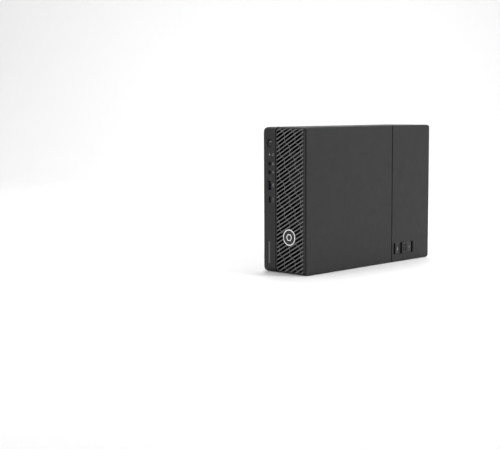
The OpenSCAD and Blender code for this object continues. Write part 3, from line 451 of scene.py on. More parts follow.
class Build:
    """Collects the solids of one piece, in millimetres, each with its own material."""

    def __init__(self, *materials):
        self.bm = bmesh.new()
        self.names = list(materials)
        self.now = 0

    def use(self, name):
        if name not in self.names:
            self.names.append(name)
        self.now = self.names.index(name)
        return self

    def vert(self, p):
        return self.bm.verts.new(p)

    def face(self, verts):
        made = self.bm.faces.new(verts)
        made.material_index = self.now
        return made

    def box(self, low, high):
        outline = [(low[0], low[1]), (high[0], low[1]), (high[0], high[1]), (low[0], high[1])]
        return self.prism(outline, "z", low[2], high[2])

    def slab(self, x0, x1, y, z, half_y, half_z):
        """A box between two places along X, about a middle in Y and Z."""
        return self.box((x0, y - half_y, z - half_z), (x1, y + half_y, z + half_z))

    def prism(self, outline, axis, start, end, holes=()):
        """An outline, perhaps with holes, given a thickness along an axis."""
        to3 = AXIS_TURN[axis]
        loops = [outline, *holes]
        rings = [[[self.vert(to3(u, v, w)) for u, v in loop] for loop in loops] for w in (start, end)]
        for first, last in zip(*rings):
            for i in range(len(first)):
                j = (i + 1) % len(first)
                self.face((first[i], first[j], last[j], last[i]))
        for side in rings:
            if not holes:
                self.face(side[0])
                continue
            edges = [self.bm.edges.get((loop[i], loop[(i + 1) % len(loop)])) for loop in side
                     for i in range(len(loop))]
            made = bmesh.ops.triangle_fill(self.bm, use_beauty=True, edges=edges)["geom"]
            for f in made:
                if isinstance(f, bmesh.types.BMFace):
                    f.material_index = self.now
        return self

    def lathe(self, centre, axis, profile, steps=48, closed=False):
        """A profile of (radius, place along the axis) turned about an axis through centre."""
        to3 = AXIS_TURN[axis]
        u0, v0 = centre
        rows = []
        for r, w in profile:
            if r < 1e-6:
                rows.append([self.vert(to3(u0, v0, w))])
            else:
                rows.append([self.vert(to3(u, v, w)) for u, v in ring(centre, r, steps)])
        pairs = list(zip(rows, rows[1:])) + ([(rows[-1], rows[0])] if closed else [])
        for a, b in pairs:
            for i in range(steps):
                j = (i + 1) % steps
                corners = [a[i % len(a)], a[j % len(a)], b[j % len(b)], b[i % len(b)]]
                corners = [c for k, c in enumerate(corners) if c not in corners[:k]]
                if len(corners) > 2:
                    self.face(corners)
        return self

    def washer(self, centre, axis, inner, outer, start, end, steps):
        """A flat ring, or a disc where the inner radius is 0."""
        profile = [(inner, start), (outer, start), (outer, end), (inner, end)]
        return self.lathe(centre, axis, profile, steps, closed=inner > 0)

    def tube(self, path, r, sides=10, apart=0.0, phase=0.0, turns=0.0):
        """A round wire along a path, with flat ends. It can run beside the path, winding round it."""
        line = [Vector(p) for p in path]
        across, rows = Vector((0.21, 0.33, 1)), []
        for i, p in enumerate(line):
            along = (line[min(i + 1, len(line) - 1)] - line[max(i - 1, 0)]).normalized()
            across = (across - along * along.dot(across)).normalized()
            other = along.cross(across)
            wind = phase + 2 * math.pi * turns * i / len(line)
            middle = p + apart * (math.cos(wind) * across + math.sin(wind) * other)
            angles = [2 * math.pi * k / sides for k in range(sides)]
            rows.append([self.vert(middle + r * (math.cos(a) * across + math.sin(a) * other))
                         for a in angles])
        for a, b in zip(rows, rows[1:]):
            for k in range(sides):
                self.face((a[k], a[(k + 1) % sides], b[(k + 1) % sides], b[k]))
        self.face(rows[0][::-1])
        self.face(rows[-1])
        return self

    def piece(self, name, body, replaces=(), bevel=0.12, segments=2, sharp=38):
        """Makes the collected solids into one object that rides on a body."""
        bmesh.ops.recalc_face_normals(self.bm, faces=self.bm.faces)
        bmesh.ops.scale(self.bm, vec=(MM, MM, MM), verts=self.bm.verts)
        for edge in self.bm.edges:
            edge.smooth = len(edge.link_faces) == 2 and edge.calc_face_angle(0) < math.radians(sharp)
        mesh = bpy.data.meshes.new(name)
        self.bm.to_mesh(mesh)
        self.bm.free()
        for face in mesh.polygons:
            face.use_smooth = True
        obj = bpy.data.objects.new(name, mesh)
        for material in self.names:
            mesh.materials.append(MATERIALS[material])
        bpy.context.scene.collection.objects.link(obj)
        if bevel:
            soften(obj, bevel, segments, sharp)
        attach(obj, body)
        if replaces:
            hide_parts(*replaces)
        return obj


def soften(obj, width_mm, segments=2, sharp=38):
    """Small rounded edges on every sharp corner."""
    bevel = obj.modifiers.new("soft_edges", "BEVEL")
    bevel.width = width_mm * MM
    bevel.segments = segments
    bevel.limit_method = "ANGLE"
    bevel.angle_limit = math.radians(sharp)
    bevel.harden_normals = True
    bevel.miter_outer = "MITER_ARC"


def smooth_path(points, steps=8):
    """A smooth line through given points."""
    p = [Vector(q) for q in points]
    line = []
    for i in range(len(p) - 1):
        a, b, c, d = p[max(i - 1, 0)], p[i], p[i + 1], p[min(i + 2, len(p) - 1)]
        for k in range(steps):
            t = k / steps
            bend = 2 * a - 5 * b + 4 * c - d + t * (3 * b - a - 3 * c + d)
            line.append(b + 0.5 * t * ((c - a) + t * bend))
    return line + [p[-1]]


# ---- CAD nodes that keep their shape

CAD_LOOKS = {
    "textured_steel": (0.3, "chassis_tray rear_panel side_cover"),
    "cover_plastic": (0.45, "cable_cover"),
    "bezel_plastic": (0.3, "front_bezel"),
    # The grille's material carries painted highlight and painted shade.
    "grille_with_painted_light": (0.28, "front_grille"),
    # The front frame and speaker: near-black as painted shade.
    "frame_painted_shade": (0.15, "front_frame speaker"),
    "inner_steel": (0.12, "graphics_bracket"),
    "bright_metal": (0.15, "board_screws heatsink_screws bracket_screw thumbscrew processor"),
    "brass": (0.15, "mounting_inserts board_standoffs"),
    "rubber": (0.5, "rubber_feet"),
    "black_plastic": (0.2, "power_switch memory_sockets ssd_socket coin_cell_holder dc_inlet riser_socket "
                           "rear_usb_tongues blower_housing graphics_shroud headset_jack line_out_jack "
                           "wireless_card activity_light"),
    "latch_plastic": (0.35, "lock_slider release_slider"),
    "dark_metal": (0.12, "front_usb_a_shell front_usb_c_port"),
    "socket_metal": (0.12, "display_ports rear_usb_shells network_jack graphics_ports coin_cell"),
    "header_plastic": (0.12, "board_headers processor_socket"),
    "circuit_board": (0.06, "system_board memory_module_lower memory_module_upper ssd_module riser_card"),
    "black_board": (0.06, "graphics_board"),
    "heatsink_aluminium": (0.1, "heatsink chipset_heatsink graphics_heatsink"),
    "ferrite": (0.4, "regulator_chokes"),
    "cap_sleeve": (0.5, "capacitors"),
    "blue_tongue": (0.15, "front_usb_a_tongue"),
    "blank_label": (0.1, "label_strip"),
}


def dress_cad_nodes():
    for material, (bevel, names) in CAD_LOOKS.items():
        for name in names.split():
            node = NODES[name]
            node.data.materials.clear()
            node.data.materials.append(MATERIALS[material])
            weld = node.modifiers.new("weld", "WELD")
            weld.merge_threshold = WELD_DISTANCE * MM
            if bevel:
                soften(node, bevel)
    for node in NODES.values():
        if not node.data.materials:
            node.data.materials.append(MATERIALS["black_plastic"])


def paint(name, material, test):
    """Gives faces another material where a test of their middle, in millimetres, and normal holds."""
    mesh = NODES[name].data
    mesh.materials.append(MATERIALS[material])
    for face in mesh.polygons:
        if test(face.center / MM, face.normal):
            face.material_index = len(mesh.materials) - 1


def paint_small_parts():
    """Chips, cans, pins and tongues that share a CAD node with the board or shell that carries them."""
    for name in ("memory_module_lower", "memory_module_upper"):
        low = box_mm(name)[0]
        paint(name, "epoxy", lambda c, n: c.x > low.x + 1.25)
    low = box_mm("ssd_module")[0]
    paint("ssd_module", "epoxy", lambda c, n: c.x > low.x + 3.85 and c.y > low.y + 4)
    paint("ssd_module", "bright_metal", lambda c, n: c.y < low.y + 5.5
          and (c.x < low.x + 2.95 or c.x > low.x + 3.85))
    low, high = box_mm("wireless_card")
    paint("wireless_card", "circuit_board", lambda c, n: c.y < high.y - 5
          and low.x + 2.5 < c.x < low.x + 3.45)
    paint("wireless_card", "socket_metal", lambda c, n: high.y - 22 < c.y < high.y - 7 and c.x > low.x + 3.45)
    paint("wireless_card", "gold", lambda c, n: c.y < high.y - 24 and c.x > low.x + 3.35)
    low = box_mm("riser_card")[0]
    paint("riser_card", "black_plastic", lambda c, n: c.z > low.z + 1.65)
    paint("capacitors", "solder", lambda c, n: n.x > 0.9)
    low, high = box_mm("display_ports")
    paint("display_ports", "black_plastic", lambda c, n: low.x + 2.85 < c.x < low.x + 4.35
          and low.y + 4 < c.y < high.y - 2)
    low, high = box_mm("network_jack")
    paint("network_jack", "black_plastic", lambda c, n: low.x + 2.1 < c.x < low.x + 11.5
          and low.y + 3 < c.y < high.y - 0.5)
    low, high = box_mm("dc_inlet")
    pin_x, pin_z = low.x + 6, (low.z + high.z) / 2
    paint("dc_inlet", "bright_metal", lambda c, n: math.hypot(c.x - pin_x, c.z - pin_z) < 0.6
          and c.y < high.y - 7)
    low, high = box_mm("front_usb_c_port")
    port_x = (low.x + high.x) / 2
    paint("front_usb_c_port", "black_plastic", lambda c, n: abs(c.x - port_x) < 0.4
          and low.y + 2 < c.y < high.y - 1)
    low = box_mm("activity_light")[0]
    paint("activity_light", "light_lens", lambda c, n: c.y < low.y + 3.8)
    shaft_r = 1.6
    for name, joint in (("blower_housing", "blower_spin"), ("graphics_heatsink", "graphics_fan_spin")):
        spot = SPIN[joint]
        paint(name, "bright_metal", lambda c, n: math.hypot(c.y - spot.y, c.z - spot.z) < shaft_r)


# ---- front pieces

def power_button():
    low, high = box_mm("power_button")
    x, z, front = (low.x + high.x) / 2, (low.z + high.z) / 2, low.y
    r = (high.x - low.x) / 2 - 0.9
    b = Build("bezel_plastic")
    b.lathe((x, z), "y", [
        (0, high.y), (1.5, high.y), (1.5, front + 3.2), (r + 0.9, front + 3.2), (r + 0.9, front + 2),
        (r, front + 2), (r, front + 0.35), (r - 0.2, front + 0.05), (r - 0.45, front + 0.05),
        (r - 0.65, front + 1.5), (0, front + 1.5),
    ], 64)
    dome_r, sink, rise = r - 0.75, 1.15, 1.1
    dome = [(dome_r * math.sin(a), front + sink - rise * math.cos(a))
            for a in (math.pi / 2 * i / 10 for i in range(11))]
    b.use("gloss_black")
    b.lathe((x, z), "y", [(0, front + 1.6), (dome_r, front + 1.6), *dome[::-1]], 64)
    # The power mark is print, made bright white so that it also stands in for the dome's highlight: partly
    # painted highlight.
    b.use("badge_white")
    b.prism(band(arc((x, z), 1.35, -235, 55, 26), 0.35), "y", front + 0.12, front + 0.5)
    b.box((x - 0.18, front + 0.08, z + 0.4), (x + 0.18, front + 0.5, z + 1.9))
    b.piece("power_button_cap", "power_button", ["power_button"], bevel=0.06)


def light_lens():
    low, high = box_mm("activity_light")
    x, z = PORT_X, (low.z + high.z) / 2
    b = Build("bezel_plastic")
    profile = [(1.06, low.y + 0.05), (1.3, low.y - 0.03), (1.75, low.y + 0.01), (1.85, low.y + 0.4),
               (1.06, low.y + 0.4)]
    b.lathe((x, z), "y", profile, 40, closed=True)
    b.piece("activity_light_ring", "case", bevel=0)


def socket_marks():
    """Small plain line marks printed beside each socket."""
    b = Build("print")

    def line(points, width=0.38):
        b.prism(band(points, width), "y", FRONT - PRINT_DEPTH, FRONT + 0.3)

    def frame_mark(x, z, w, h, r=0.4):
        outline = soft_rect((x - w / 2, z - h / 2), (x + w / 2, z + h / 2), r)
        w, h = w - 0.72, h - 0.72
        inside = soft_rect((x - w / 2, z - h / 2), (x + w / 2, z + h / 2), r * 0.5)
        b.prism(outline, "y", FRONT - PRINT_DEPTH, FRONT + 0.3, [inside])

    x = PORT_X + 6.4
    light, headset, line_out = (middle(n).z for n in ("activity_light", "headset_jack", "line_out_jack"))
    usb_a, usb_c = (middle(n).z for n in ("front_usb_a_shell", "front_usb_c_port"))
    frame_mark(x, light, 2.2, 3)
    line([(x - 0.6, light - 0.8), (x + 0.6, light - 0.8)])
    line(arc((x, headset), 1.5, -20, 200))
    for side in (-1, 1):
        frame_mark(x + side * 1.35, headset - 0.9, 0.95, 1.7, 0.3)
    for radius in (0.8, 1.6):
        line(arc((x - 0.7, line_out), radius, -50, 50, 8))
    frame_mark(x - 1, line_out, 0.9, 1.5, 0.2)
    frame_mark(x, usb_a + 1.9, 1.9, 1.7, 0.2)
    frame_mark(x, usb_a - 0.5, 2.5, 2.9, 0.5)
    frame_mark(x, usb_c + 1.3, 1.5, 3.2, 0.7)
    bolt = [(x + 0.5, usb_c - 0.9), (x - 0.5, usb_c - 2.1), (x + 0.4, usb_c - 2.1), (x - 0.4, usb_c - 3.3)]
    line(bolt, 0.34)
    b.piece("socket_marks", "case", bevel=0)


def badge():
    """Bright ring round a plain dark disc with a six-sided mark."""
    low, high = box_mm("front_badge")
    x, z, front, r = (low.x + high.x) / 2, (low.z + high.z) / 2, low.y, (high.x - low.x) / 2
    b = Build("badge_white")
    b.lathe((x, z), "y", [
        (r, front + 0.22), (r - 0.12, front + 0.05), (r - 0.45, front), (r - 0.95, front),
        (r - 1.2, front + 0.05), (r - 1.25, front + 0.24),
    ], 96, closed=True)
    hexagon = [ring((x, z), q, 6) for q in (4.9, 3.7)]
    b.prism(hexagon[0], "y", front + 0.01, front + 0.3, [hexagon[1]])
    b.use("gloss_black")
    b.lathe((x, z), "y", [
        (0, high.y), (r - 1.6, high.y), (r - 1.6, front + 0.23), (r - 1.25, front + 0.23),
        (r - 1.25, front + 0.16), (0, front + 0.16),
    ], 96)
    b.piece("front_badge_ring", "case", ["front_badge"], bevel=0.05)


def front_contacts():
    """Gold contacts on the tongues of the front sockets, and the springs in the shell."""
    low = box_mm("front_usb_a_tongue")[0]
    b = Build("gold")
    for i in range(4):
        z = low.z + 1.9 + 2.35 * i
        b.box((low.x - 0.06, low.y + 1.6, z), (low.x + 0.05, low.y + 8, z + 1.05))
    c_low, c_high = box_mm("front_usb_c_port")
    z0, y0 = (c_low.z + c_high.z) / 2, c_low.y + 2.2
    for side in (-1, 1):
        for i in range(12):
            z = z0 - 2.75 + 0.5 * i
            x = PORT_X + side * 0.36
            b.box((x - 0.03, y0 + 1, z - 0.13), (x + 0.03, y0 + 4, z + 0.13))
    b.piece("front_contacts", "case", bevel=0)
    s_low, s_high = box_mm("front_usb_a_shell")
    b = Build("socket_metal")
    for z in (s_low.z + 3.6, s_high.z - 3.6):
        for x, side in ((s_low.x + 0.55, 1), (s_high.x - 0.55, -1)):
            b.prism([(x, s_low.y + 2), (x, s_low.y + 7.5), (x + side * 0.42, s_low.y + 6.4),
                     (x + side * 0.42, s_low.y + 5.4)],
                    "z", z - 0.9, z + 0.9)
    b.piece("front_usb_a_springs", "case", bevel=0.05)


def jack_springs():
    """The bent contact deep in each audio jack, and the bright ring at its mouth."""
    for name in ("headset_jack", "line_out_jack"):
        low, high = box_mm(name)
        z = (low.z + high.z) / 2
        b = Build("gold")
        b.box((PORT_X - 1.82, low.y + 6, z - 0.5), (PORT_X - 1.4, low.y + 11, z + 0.5))
        b.use("gloss_black")
        b.lathe((PORT_X, z), "y", [
            (1.82, low.y + 0.05), (2.0, low.y - 0.28), (2.45, low.y - 0.36), (2.78, low.y - 0.2),
            (2.8, low.y + 0.05),
        ], 48, closed=True)
        b.piece(name + "_mouth", "case", bevel=0)


# ---- latch pieces

def latch_marks():
    """Ribs and a plain padlock on the lock slider, ribs and an arrow on the release slider."""
    for name in ("lock_slider", "release_slider"):
        low, high = box_mm(name)
        face = high.x
        y, z = middle(name).yz
        b = Build("latch_plastic")
        if name == "lock_slider":
            for side in (-1, 1):
                for i in range(2):
                    w = y + side * (3.1 + 1.1 * i)
                    b.prism(soft_rect((w - 0.3, z - 5), (w + 0.3, z + 5), 0.29), "x", face - 0.3, face + 0.3)
            b.use("print")
            b.prism(soft_rect((y - 1.3, z - 2.3), (y + 1.3, z + 0.2), 0.3), "x", face - 0.3, face + 0.03)
            b.prism(band([(y - 0.8, z + 0.1), (y - 0.8, z + 0.9), *arc((y, z + 0.9), 0.8, 180, 0, 8),
                          (y + 0.8, z + 0.1)], 0.4),
                    "x", face - 0.3, face + 0.03)
        else:
            for i in range(6):
                w = low.y + 3.2 + 1.5 * i
                rib = soft_rect((w - 0.35, z - 5.2), (w + 0.35, z + 5.2), 0.34)
                b.prism(rib, "x", face - 0.3, face + 0.32)
            b.use("print")
            tip = high.y - 2.2
            b.prism([(tip - 2.2, z - 1.5), (tip, z), (tip - 2.2, z + 1.5)], "x", face - 0.3, face + 0.03)
        b.piece(name + "_marks", name, bevel=0.08)


# ---- fans

def blower():
    """Centrifugal impeller with forward-curved blades between its back plate and rim."""
    low, high = box_mm("blower_impeller")
    y, z = SPIN["blower_spin"].yz
    r = (high.z - low.z) / 2
    x0, x1, count = low.x, high.x, 37
    b = Build("fan_plastic")
    b.lathe((y, z), "x", [
        (1.55, x0), (r, x0), (r, x0 + 1.2), (13.2, x0 + 1.2), (13, x1 - 4.6), (12.2, x1 - 2.7),
        (10.4, x1 - 2), (0, x1 - 2), (0, x1 - 4), (1.55, x1 - 4),
    ], 96, closed=True)
    for i in range(count):
        turn = 360 / count * i
        line = []
        for k in range(9):
            q = r - 11 + 10.6 * k / 8
            a = math.radians(turn + 26 * (k / 8) ** 1.6)
            line.append((y + q * math.cos(a), z + q * math.sin(a)))
        b.prism(band(line, 0.75), "x", x0 + 1.1, x1 - 0.5)
    b.washer((y, z), "x", r - 2.2, r, x1 - 1, x1, 96)
    b.use("blank_label")
    b.washer((y, z), "x", 0, 8.6, x1 - 2.02, x1 - 1.94, 64)
    b.use("print")
    b.washer((y, z), "x", 7.2, 7.5, x1 - 2, x1 - 1.9, 64)
    b.piece("blower_impeller_blades", "blower_impeller", ["blower_impeller"], bevel=0.08,
            segments=1)


def axial_fan():
    """The graphics card's fan, with broad blades that twist from hub to tip."""
    low, high = box_mm("graphics_fan")
    y, z = SPIN["graphics_fan_spin"].yz
    r = (high.z - low.z) / 2
    x0, x1, count, hub, tip = low.x, high.x, 11, 9.3, r - 0.2
    b = Build("fan_plastic")
    b.lathe((y, z), "x", [
        (1.55, x0), (9.5, x0), (9.5, x1 - 1.4), (8.6, x1 - 0.3), (8, x1 - 0.1), (0, x1 - 0.1),
        (0, x1 - 2), (1.55, x1 - 2),
    ], 72, closed=True)
    rows, columns = 7, 6
    for i in range(count):
        faces = []
        for side in (-0.4, 0.4):
            grid = []
            for k in range(rows):
                q = hub - 0.3 + (tip - hub + 0.3) * k / (rows - 1)
                sweep = 30 * (k / (rows - 1)) ** 1.4
                grid.append([])
                for m in range(columns):
                    s = m / (columns - 1)
                    a = math.radians(360 / count * i + sweep + (s - 0.5) * (44 - 12 * k / (rows - 1)))
                    x = x0 + 1.2 + (x1 - x0 - 3) * (s + 0.12 * math.sin(math.pi * s)) + side
                    grid[-1].append(b.vert((x, y + q * math.cos(a), z + q * math.sin(a))))
            faces.append(grid)
        for grid in faces:
            for k in range(rows - 1):
                for m in range(columns - 1):
                    b.face((grid[k][m], grid[k][m + 1], grid[k + 1][m + 1], grid[k + 1][m]))
        one, two = faces
        border = [(0, m) for m in range(columns)] + [(k, columns - 1) for k in range(1, rows)]
        border += [(rows - 1, m) for m in range(columns - 2, -1, -1)]
        border += [(k, 0) for k in range(rows - 2, 0, -1)]
        for (k, m), (kk, mm) in zip(border, border[1:] + border[:1]):
            b.face((one[k][m], one[kk][mm], two[kk][mm], two[k][m]))
    b.use("blank_label")
    b.washer((y, z), "x", 0, 6.4, x1 - 0.15, x1 - 0.06, 64)
    b.use("print")
    b.washer((y, z), "x", 5.2, 5.45, x1 - 0.1, x1 - 0.03, 64)
    b.piece("graphics_fan_blades", "graphics_fan", ["graphics_fan"], bevel=0.06, segments=1)


def flat_screw(b, y, z, face, r=1.7):
    """A cross-head screw sunk a little into a face that looks along X."""
    b.use("bright_metal")
    b.lathe((y, z), "x",
            [(0, face - 0.4), (r, face - 0.4), (r, face + 0.25), (r - 0.3, face + 0.45), (0, face + 0.5)], 24)
    b.use("black_plastic")
    b.slab(face + 0.3, face + 0.54, y, z, r * 0.6, 0.2)
    b.slab(face + 0.3, face + 0.54, y, z, 0.2, r * 0.6)


def heatsink_folds():
    """The fins' folded top edges, hooked into each other along three lines."""
    low, high = box_mm("heatsink")
    fin_count, fin_wall, stack = 24, 0.8, 66
    pitch = (stack - fin_wall) / (fin_count - 1)
    first_z, y0, y1 = (low.z + high.z - stack) / 2, high.y - 52, high.y
    b = Build("heatsink_aluminium")
    for i in range(fin_count - 1):
        z = first_z + pitch * i
        b.box((high.x - 0.1, y0 + 0.2, z + 0.12), (high.x + 0.24, y1 - 0.2, z + pitch - 0.3))
        for y in (y0 + 8, (y0 + y1) / 2, y1 - 8):
            b.box((high.x + 0.1, y - 1.7, z + 0.7), (high.x + 0.46, y + 1.7, z + pitch - 0.05))
    b.piece("heatsink_folds", "case", bevel=0.08, segments=1)


def blower_details():
    """The lip round the blower's inlet, its lid screws and a blank sticker by the outlet."""
    face, inlet = box_mm("blower_housing")[1].x, 25
    y, z = SPIN["blower_spin"].yz
    b = Build("black_plastic")
    b.lathe((y, z), "x", [
        (inlet, face - 0.3), (inlet, face + 0.35), (inlet + 0.5, face + 0.55), (inlet + 1.4, face + 0.5),
        (inlet + 1.9, face - 0.3),
    ], 96, closed=True)
    for side in (-1, 1):
        rib = soft_rect((y + 15, z + side * 30 - 1.6), (y + 34, z + side * 30 + 1.6), 1.2)
        b.prism(rib, "x", face - 0.2, face + 0.3)
    for angle in (100, 180, 260):
        a = math.radians(angle)
        flat_screw(b, y + 33.5 * math.cos(a), z + 33.5 * math.sin(a), face, 1.4)
    b.use("blank_sticker")
    b.prism(soft_rect((y + 27.5, z - 10), (y + 38, z + 12), 0.8), "x", face - 0.05, face + 0.07)
    b.piece("blower_details", "case", bevel=0.1)


def shroud_details():
    """The graphics card's fan lip, its four screws and the slanted ribs beside the fan."""
    low, high = box_mm("graphics_shroud")
    y, z = SPIN["graphics_fan_spin"].yz
    face = high.x
    fan_low, fan_high = box_mm("graphics_fan")
    opening = (fan_high.z - fan_low.z) / 2 + 1.4
    b = Build("black_plastic")
    b.lathe((y, z), "x", [
        (opening, face - 0.3), (opening, face + 0.3), (opening + 0.5, face + 0.5),
        (opening + 1.3, face + 0.45), (opening + 1.9, face - 0.3),
    ], 96, closed=True)
    lean = 9
    for i in range(7):
        start = y + opening + 6.5 + 4.2 * i
        if start + lean + 2 < high.y:
            points = [(start, low.z + 8), (start + 1.6, low.z + 8), (start + lean + 1.6, high.z - 8),
                      (start + lean, high.z - 8)]
            b.prism(points, "x", face - 0.3, face + 0.35)
    for corner_y in (low.y + 3.6, high.y - 3.6):
        for corner_z in (low.z + 3.6, high.z - 3.6):
            flat_screw(b, corner_y, corner_z, face, 1.5)
    b.piece("shroud_details", "case", bevel=0.12)


# ---- board details

def gold_fingers():
    """Contact strips where the modules and cards enter their sockets."""
    b = Build("gold")
    for name in ("memory_module_lower", "memory_module_upper"):
        low, high = box_mm(name)
        for i in range(64):
            z = low.z + 1.6 + 1.02 * i
            if abs(z - (low.z + 40)) > 1.6:
                b.box((low.x - 0.03, high.y - 3.6, z), (low.x + 1.23, high.y - 0.2, z + 0.55))
    low, high = box_mm("ssd_module")
    for i in range(33):
        z = low.z + 1.2 + 0.6 * i
        if abs(z - (high.z - 4.5)) > 1:
            b.box((low.x + 2.97, high.y - 2.7, z), (low.x + 3.83, high.y - 0.1, z + 0.32))
    b.piece("gold_fingers", "case", bevel=0)


def antenna_leads():
    """Two thin leads from the wireless card, over the board to the front of the case."""
    card_y, card_z = REAR - 75, 160
    b = Build("lead_jacket")
    for side in (-1, 1):
        route = [
            (BOARD + 4.65, card_y - 21, card_z + 5 * side),
            (BOARD + 8, card_y - 21, card_z + 5 * side),
            (BOARD + 9, card_y - 28, card_z + 8 + 2 * side),
            (BOARD + 8, REAR - 112, 176.5 + side * 1.2),
            (BOARD + 5, REAR - 118, 177.5 + side * 1.2),
            (BOARD + 3, REAR - 130, 178 + side * 1.2),
            (BOARD + 3, REAR - 150, 178 + side * 1.2),
            (BOARD + 5, REAR - 158, 178 + side * 1.2),
            (BOARD + 11, REAR - 161.5, 177 + side * 1.2),
            (BOARD + 13, REAR - 163, 170 + side * 2),
            (BOARD + 13, REAR - 162.5, 140 + side * 4),
            (BOARD + 12.2, REAR - 162.5, 96 + side * 6),
        ]
        b.use("lead_jacket").tube(smooth_path(route), 0.6, 14)
        b.use("gold").lathe((card_y - 21, card_z + 5 * side), "x", [
            (0.62, BOARD + 4.62), (1.4, BOARD + 4.62), (1.4, BOARD + 5.5), (0.62, BOARD + 5.8),
        ], 28)
    b.piece("antenna_leads", "case", ["antenna_cables"], bevel=0)


def blower_lead():
    """Three thin wires wound into one lead, from the blower's housing to its plug on the board."""
    low = box_mm("blower_housing")[0]
    spin = SPIN["blower_spin"]
    plug_y, plug_z = FRONT + 22, 93.5
    route = [
        (low.x + 3, spin.y - 37.4, spin.z + 8),
        (low.x + 3, spin.y - 41, spin.z + 10),
        (low.x + 3, spin.y - 43, spin.z + 20),
        (low.x + 1, plug_y, spin.z + 32),
        (BOARD + 14, plug_y, plug_z - 2.5),
        (BOARD + 9, plug_y, plug_z),
        (BOARD + 5.6, plug_y, plug_z),
    ]
    b = Build("lead_jacket")
    for i, color in enumerate(("lead_jacket", "lead_red", "lead_grey")):
        b.use(color).tube(smooth_path(route, 14), 0.4, 12, apart=0.46, phase=2 * math.pi * i / 3, turns=5)
    b.use("header_plastic").slab(BOARD + 5.62, BOARD + 7.4, plug_y, plug_z, 1.3, 3.6)
    b.piece("blower_lead", "case", ["blower_cable"], bevel=0)


def header_pins():
    """Pins in the two plug headers, and a double row of pins near the board's foot."""
    b = Build("gold")
    low, high = box_mm("board_headers")
    for node_y, node_z in ((low.y + 2.6, low.z + 4.4), (high.y - 2.6, high.z - 4.4)):
        for z in (-2.6, 0, 2.6):
            b.box((low.x + 3.4, node_y + 1.5, node_z + z - 0.3),
                  (high.x - 0.4, node_y + 2.1, node_z + z + 0.3))
    for column in range(2):
        for row in range(9):
            y, z = low.y + 17 + 2.54 * column, 20 + 2.54 * row
            b.slab(BOARD, BOARD + 6, y, z, 0.32, 0.32)
    b.use("black_plastic")
    b.box((BOARD, low.y + 15.6, 18.6), (BOARD + 2.4, low.y + 20.9, 41.8))
    b.piece("header_pins", "case", bevel=0.06, segments=1)


def blocked(y, z, reach, boxes):
    return any(low.y - reach < y < high.y + reach and low.z - reach < z < high.z + reach
               for low, high in boxes)


def board_parts():
    """Small chips, resistors and capacitors over the free parts of the board."""
    draw = random.Random(11)
    low, high = box_mm("system_board")
    passed_over = ("system_board", "chassis_tray", "rear_panel", "front_frame", "front_bezel", "cable_cover",
                   "antenna_cables", "board_screws", "heatsink_screws", "capacitors", "board_headers",
                   "blower_cable")
    boxes = [box_mm(n) for n in NODES if n not in passed_over]
    near = [box for box in boxes if box[0].x < BOARD + 1.5 and box[1].x > BOARD + 0.1]
    for name in ("board_screws", "heatsink_screws", "capacitors"):
        mesh = NODES[name].data
        spots = {(round(v.co.y / MM / 4), round(v.co.z / MM / 4)) for v in mesh.vertices}
        near += [(Vector((0, a * 4 - 1.5, c * 4 - 1.5)), Vector((0, a * 4 + 1.5, c * 4 + 1.5)))
                 for a, c in spots]
    near.append((Vector((0, low.y - 1, 58)), Vector((0, low.y + 9, 86))))
    near.append((Vector((0, high.y - 7, 126)), Vector((0, high.y + 1, 138))))
    b = Build("epoxy")
    taken = []

    def clear(y, z, reach):
        if not (low.y + 3 + reach < y < high.y - 3 - reach and low.z + 3 + reach < z < high.z - 3 - reach):
            return False
        return not blocked(y, z, reach + 0.4, near) and not blocked(y, z, reach + 0.5, taken)

    def take(y, z, h, w):
        taken.append((Vector((0, y - h, z - w)), Vector((0, y + h, z + w))))

    for size, legs in ((7, 12), (5, 8), (5, 8), (4, 6), (7, 12), (3, 4), (3, 4), (4, 6), (3, 4), (3, 4)):
        for _ in range(60):
            y, z = draw.uniform(low.y, high.y), draw.uniform(low.z, high.z)
            if clear(y, z, size / 2 + 1.2):
                break
        else:
            continue
        take(y, z, size / 2 + 1, size / 2 + 1)
        h = size / 2
        b.use("epoxy").slab(BOARD + 0.12, BOARD + 1.15, y, z, h, h)
        b.use("print").washer((y - h + 0.8, z + h - 0.8), "x", 0, 0.3, BOARD + 1.1, BOARD + 1.17, 12)
        b.use("solder")
        for i in range(legs):
            w = (i + 0.5) / legs * size - h
            for side in (-1, 1):
                b.slab(BOARD, BOARD + 0.3, y + side * (h + 0.35), z + w, 0.35, 0.12)
    for i in range(520):
        y, z = draw.uniform(low.y, high.y), draw.uniform(low.z, high.z)
        length, width = draw.choice(((1.0, 0.5), (1.6, 0.8), (1.6, 0.8), (2.0, 1.25)))
        upright = draw.random() < 0.5
        count = draw.choice((1, 1, 2, 3, 4))
        for k in range(count):
            step = (width + 0.7) * k
            yy, zz = (y + step, z) if upright else (y, z + step)
            if not clear(yy, zz, 0.9):
                continue
            h, w = (width / 2, length / 2) if upright else (length / 2, width / 2)
            take(yy, zz, h + 0.1, w + 0.1)
            tall = width * 0.7
            b.use("solder").slab(BOARD, BOARD + tall * 0.9, yy, zz, h, w)
            b.use(("epoxy", "ceramic", "ceramic")[i % 3])
            half_y, half_z = (h + 0.01, w * 0.55) if upright else (h * 0.55, w + 0.01)
            b.slab(BOARD, BOARD + tall, yy, zz, half_y, half_z)
    b.piece("board_parts", "case", bevel=0)


def graphics_board_parts():
    """Parts on the graphics card's back, which faces the system board, and along its bare edge."""
    draw = random.Random(5)
    low, high = box_mm("graphics_board")
    b = Build("epoxy")
    for i in range(230):
        y, z = draw.uniform(low.y + 4, high.y - 22), draw.uniform(low.z + 18, high.z - 4)
        length, width = draw.choice(((1.0, 0.5), (1.6, 0.8), (2.0, 1.2)))
        b.use("solder").slab(low.x - width * 0.5, low.x, y, z, length / 2, width / 2)
        b.use(("epoxy", "ceramic")[i % 2])
        b.slab(low.x - width * 0.55, low.x, y, z, length * 0.28, width / 2 + 0.01)
    b.piece("graphics_board_parts", "case", bevel=0)


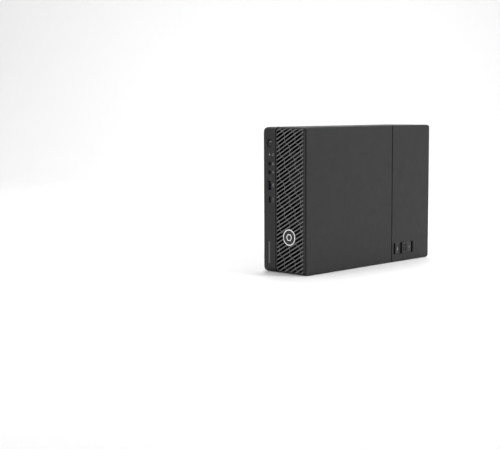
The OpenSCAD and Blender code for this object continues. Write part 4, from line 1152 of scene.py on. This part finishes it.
def blank_stickers():
    """Plain stickers without any print on the upper memory module and the drive."""
    b = Build("blank_sticker")
    low, high = box_mm("memory_module_upper")
    b.box((high.x - 0.02, low.y + 7, low.z + 20), (high.x + 0.06, low.y + 16.5, low.z + 50))
    low, high = box_mm("ssd_module")
    b.box((low.x + 5.18, low.y + 10, low.z + 4.6), (low.x + 5.28, low.y + 60, high.z - 4.6))
    b.piece("blank_stickers", "case", bevel=0)


def rear_contacts():
    """Contacts in the network and USB sockets, and the network jack's two lamps."""
    b = Build("gold")
    low, high = box_mm("network_jack")
    middle_z = (low.z + high.z) / 2
    for i in range(8):
        z = middle_z - 3.57 + 1.02 * i
        bend = [(low.x + 2.3, high.y - 11, z), (low.x + 3.4, high.y - 5, z), (low.x + 2.6, high.y - 1.2, z)]
        b.tube(bend, 0.22, 6)
    u_low, u_high = box_mm("rear_usb_tongues")
    rows = sorted({round(v.co.z / MM, 1) for v in NODES["rear_usb_tongues"].data.vertices})
    for start in (rows[0], rows[-1] - 11):
        for x in (u_low.x, u_high.x - 1.9):
            for i in range(4):
                z = start + 1.85 + 2.35 * i
                b.box((x - 0.05, u_high.y - 8, z), (x + 0.05, u_high.y - 0.5, z + 1.05))
    b.piece("rear_contacts", "case", bevel=0)
    b = Build("light_lens")
    for side in (-1, 1):
        z = middle_z + side * 6.9
        lens = soft_rect((low.x + 10, z - 0.9), (low.x + 12.6, z + 0.9), 0.3)
        b.prism(lens, "y", high.y - 2, high.y + 0.05)
    b.piece("network_lamps", "case", bevel=0.08)


def cover_liner():
    """Thin black insulating sheet inside the side cover."""
    low, high = box_mm("side_cover")
    b = Build("black_plastic")
    b.prism(soft_rect((low.y + 34, 24), (high.y - 14, 166), 6), "x", high.x - 1.5, high.x - 1.22)
    b.piece("side_cover_liner", "side_cover", bevel=0.05)


def build_pieces():
    for make in (power_button, light_lens, socket_marks, badge, front_contacts, jack_springs, latch_marks,
                 blower, axial_fan, heatsink_folds, blower_details, shroud_details, antenna_leads,
                 blower_lead, gold_fingers, header_pins, board_parts, graphics_board_parts, blank_stickers,
                 rear_contacts, cover_liner):
        make()


add_camera()
add_stage()
dress_cad_nodes()
paint_small_parts()
build_pieces()

bpy.context.view_layer.update()
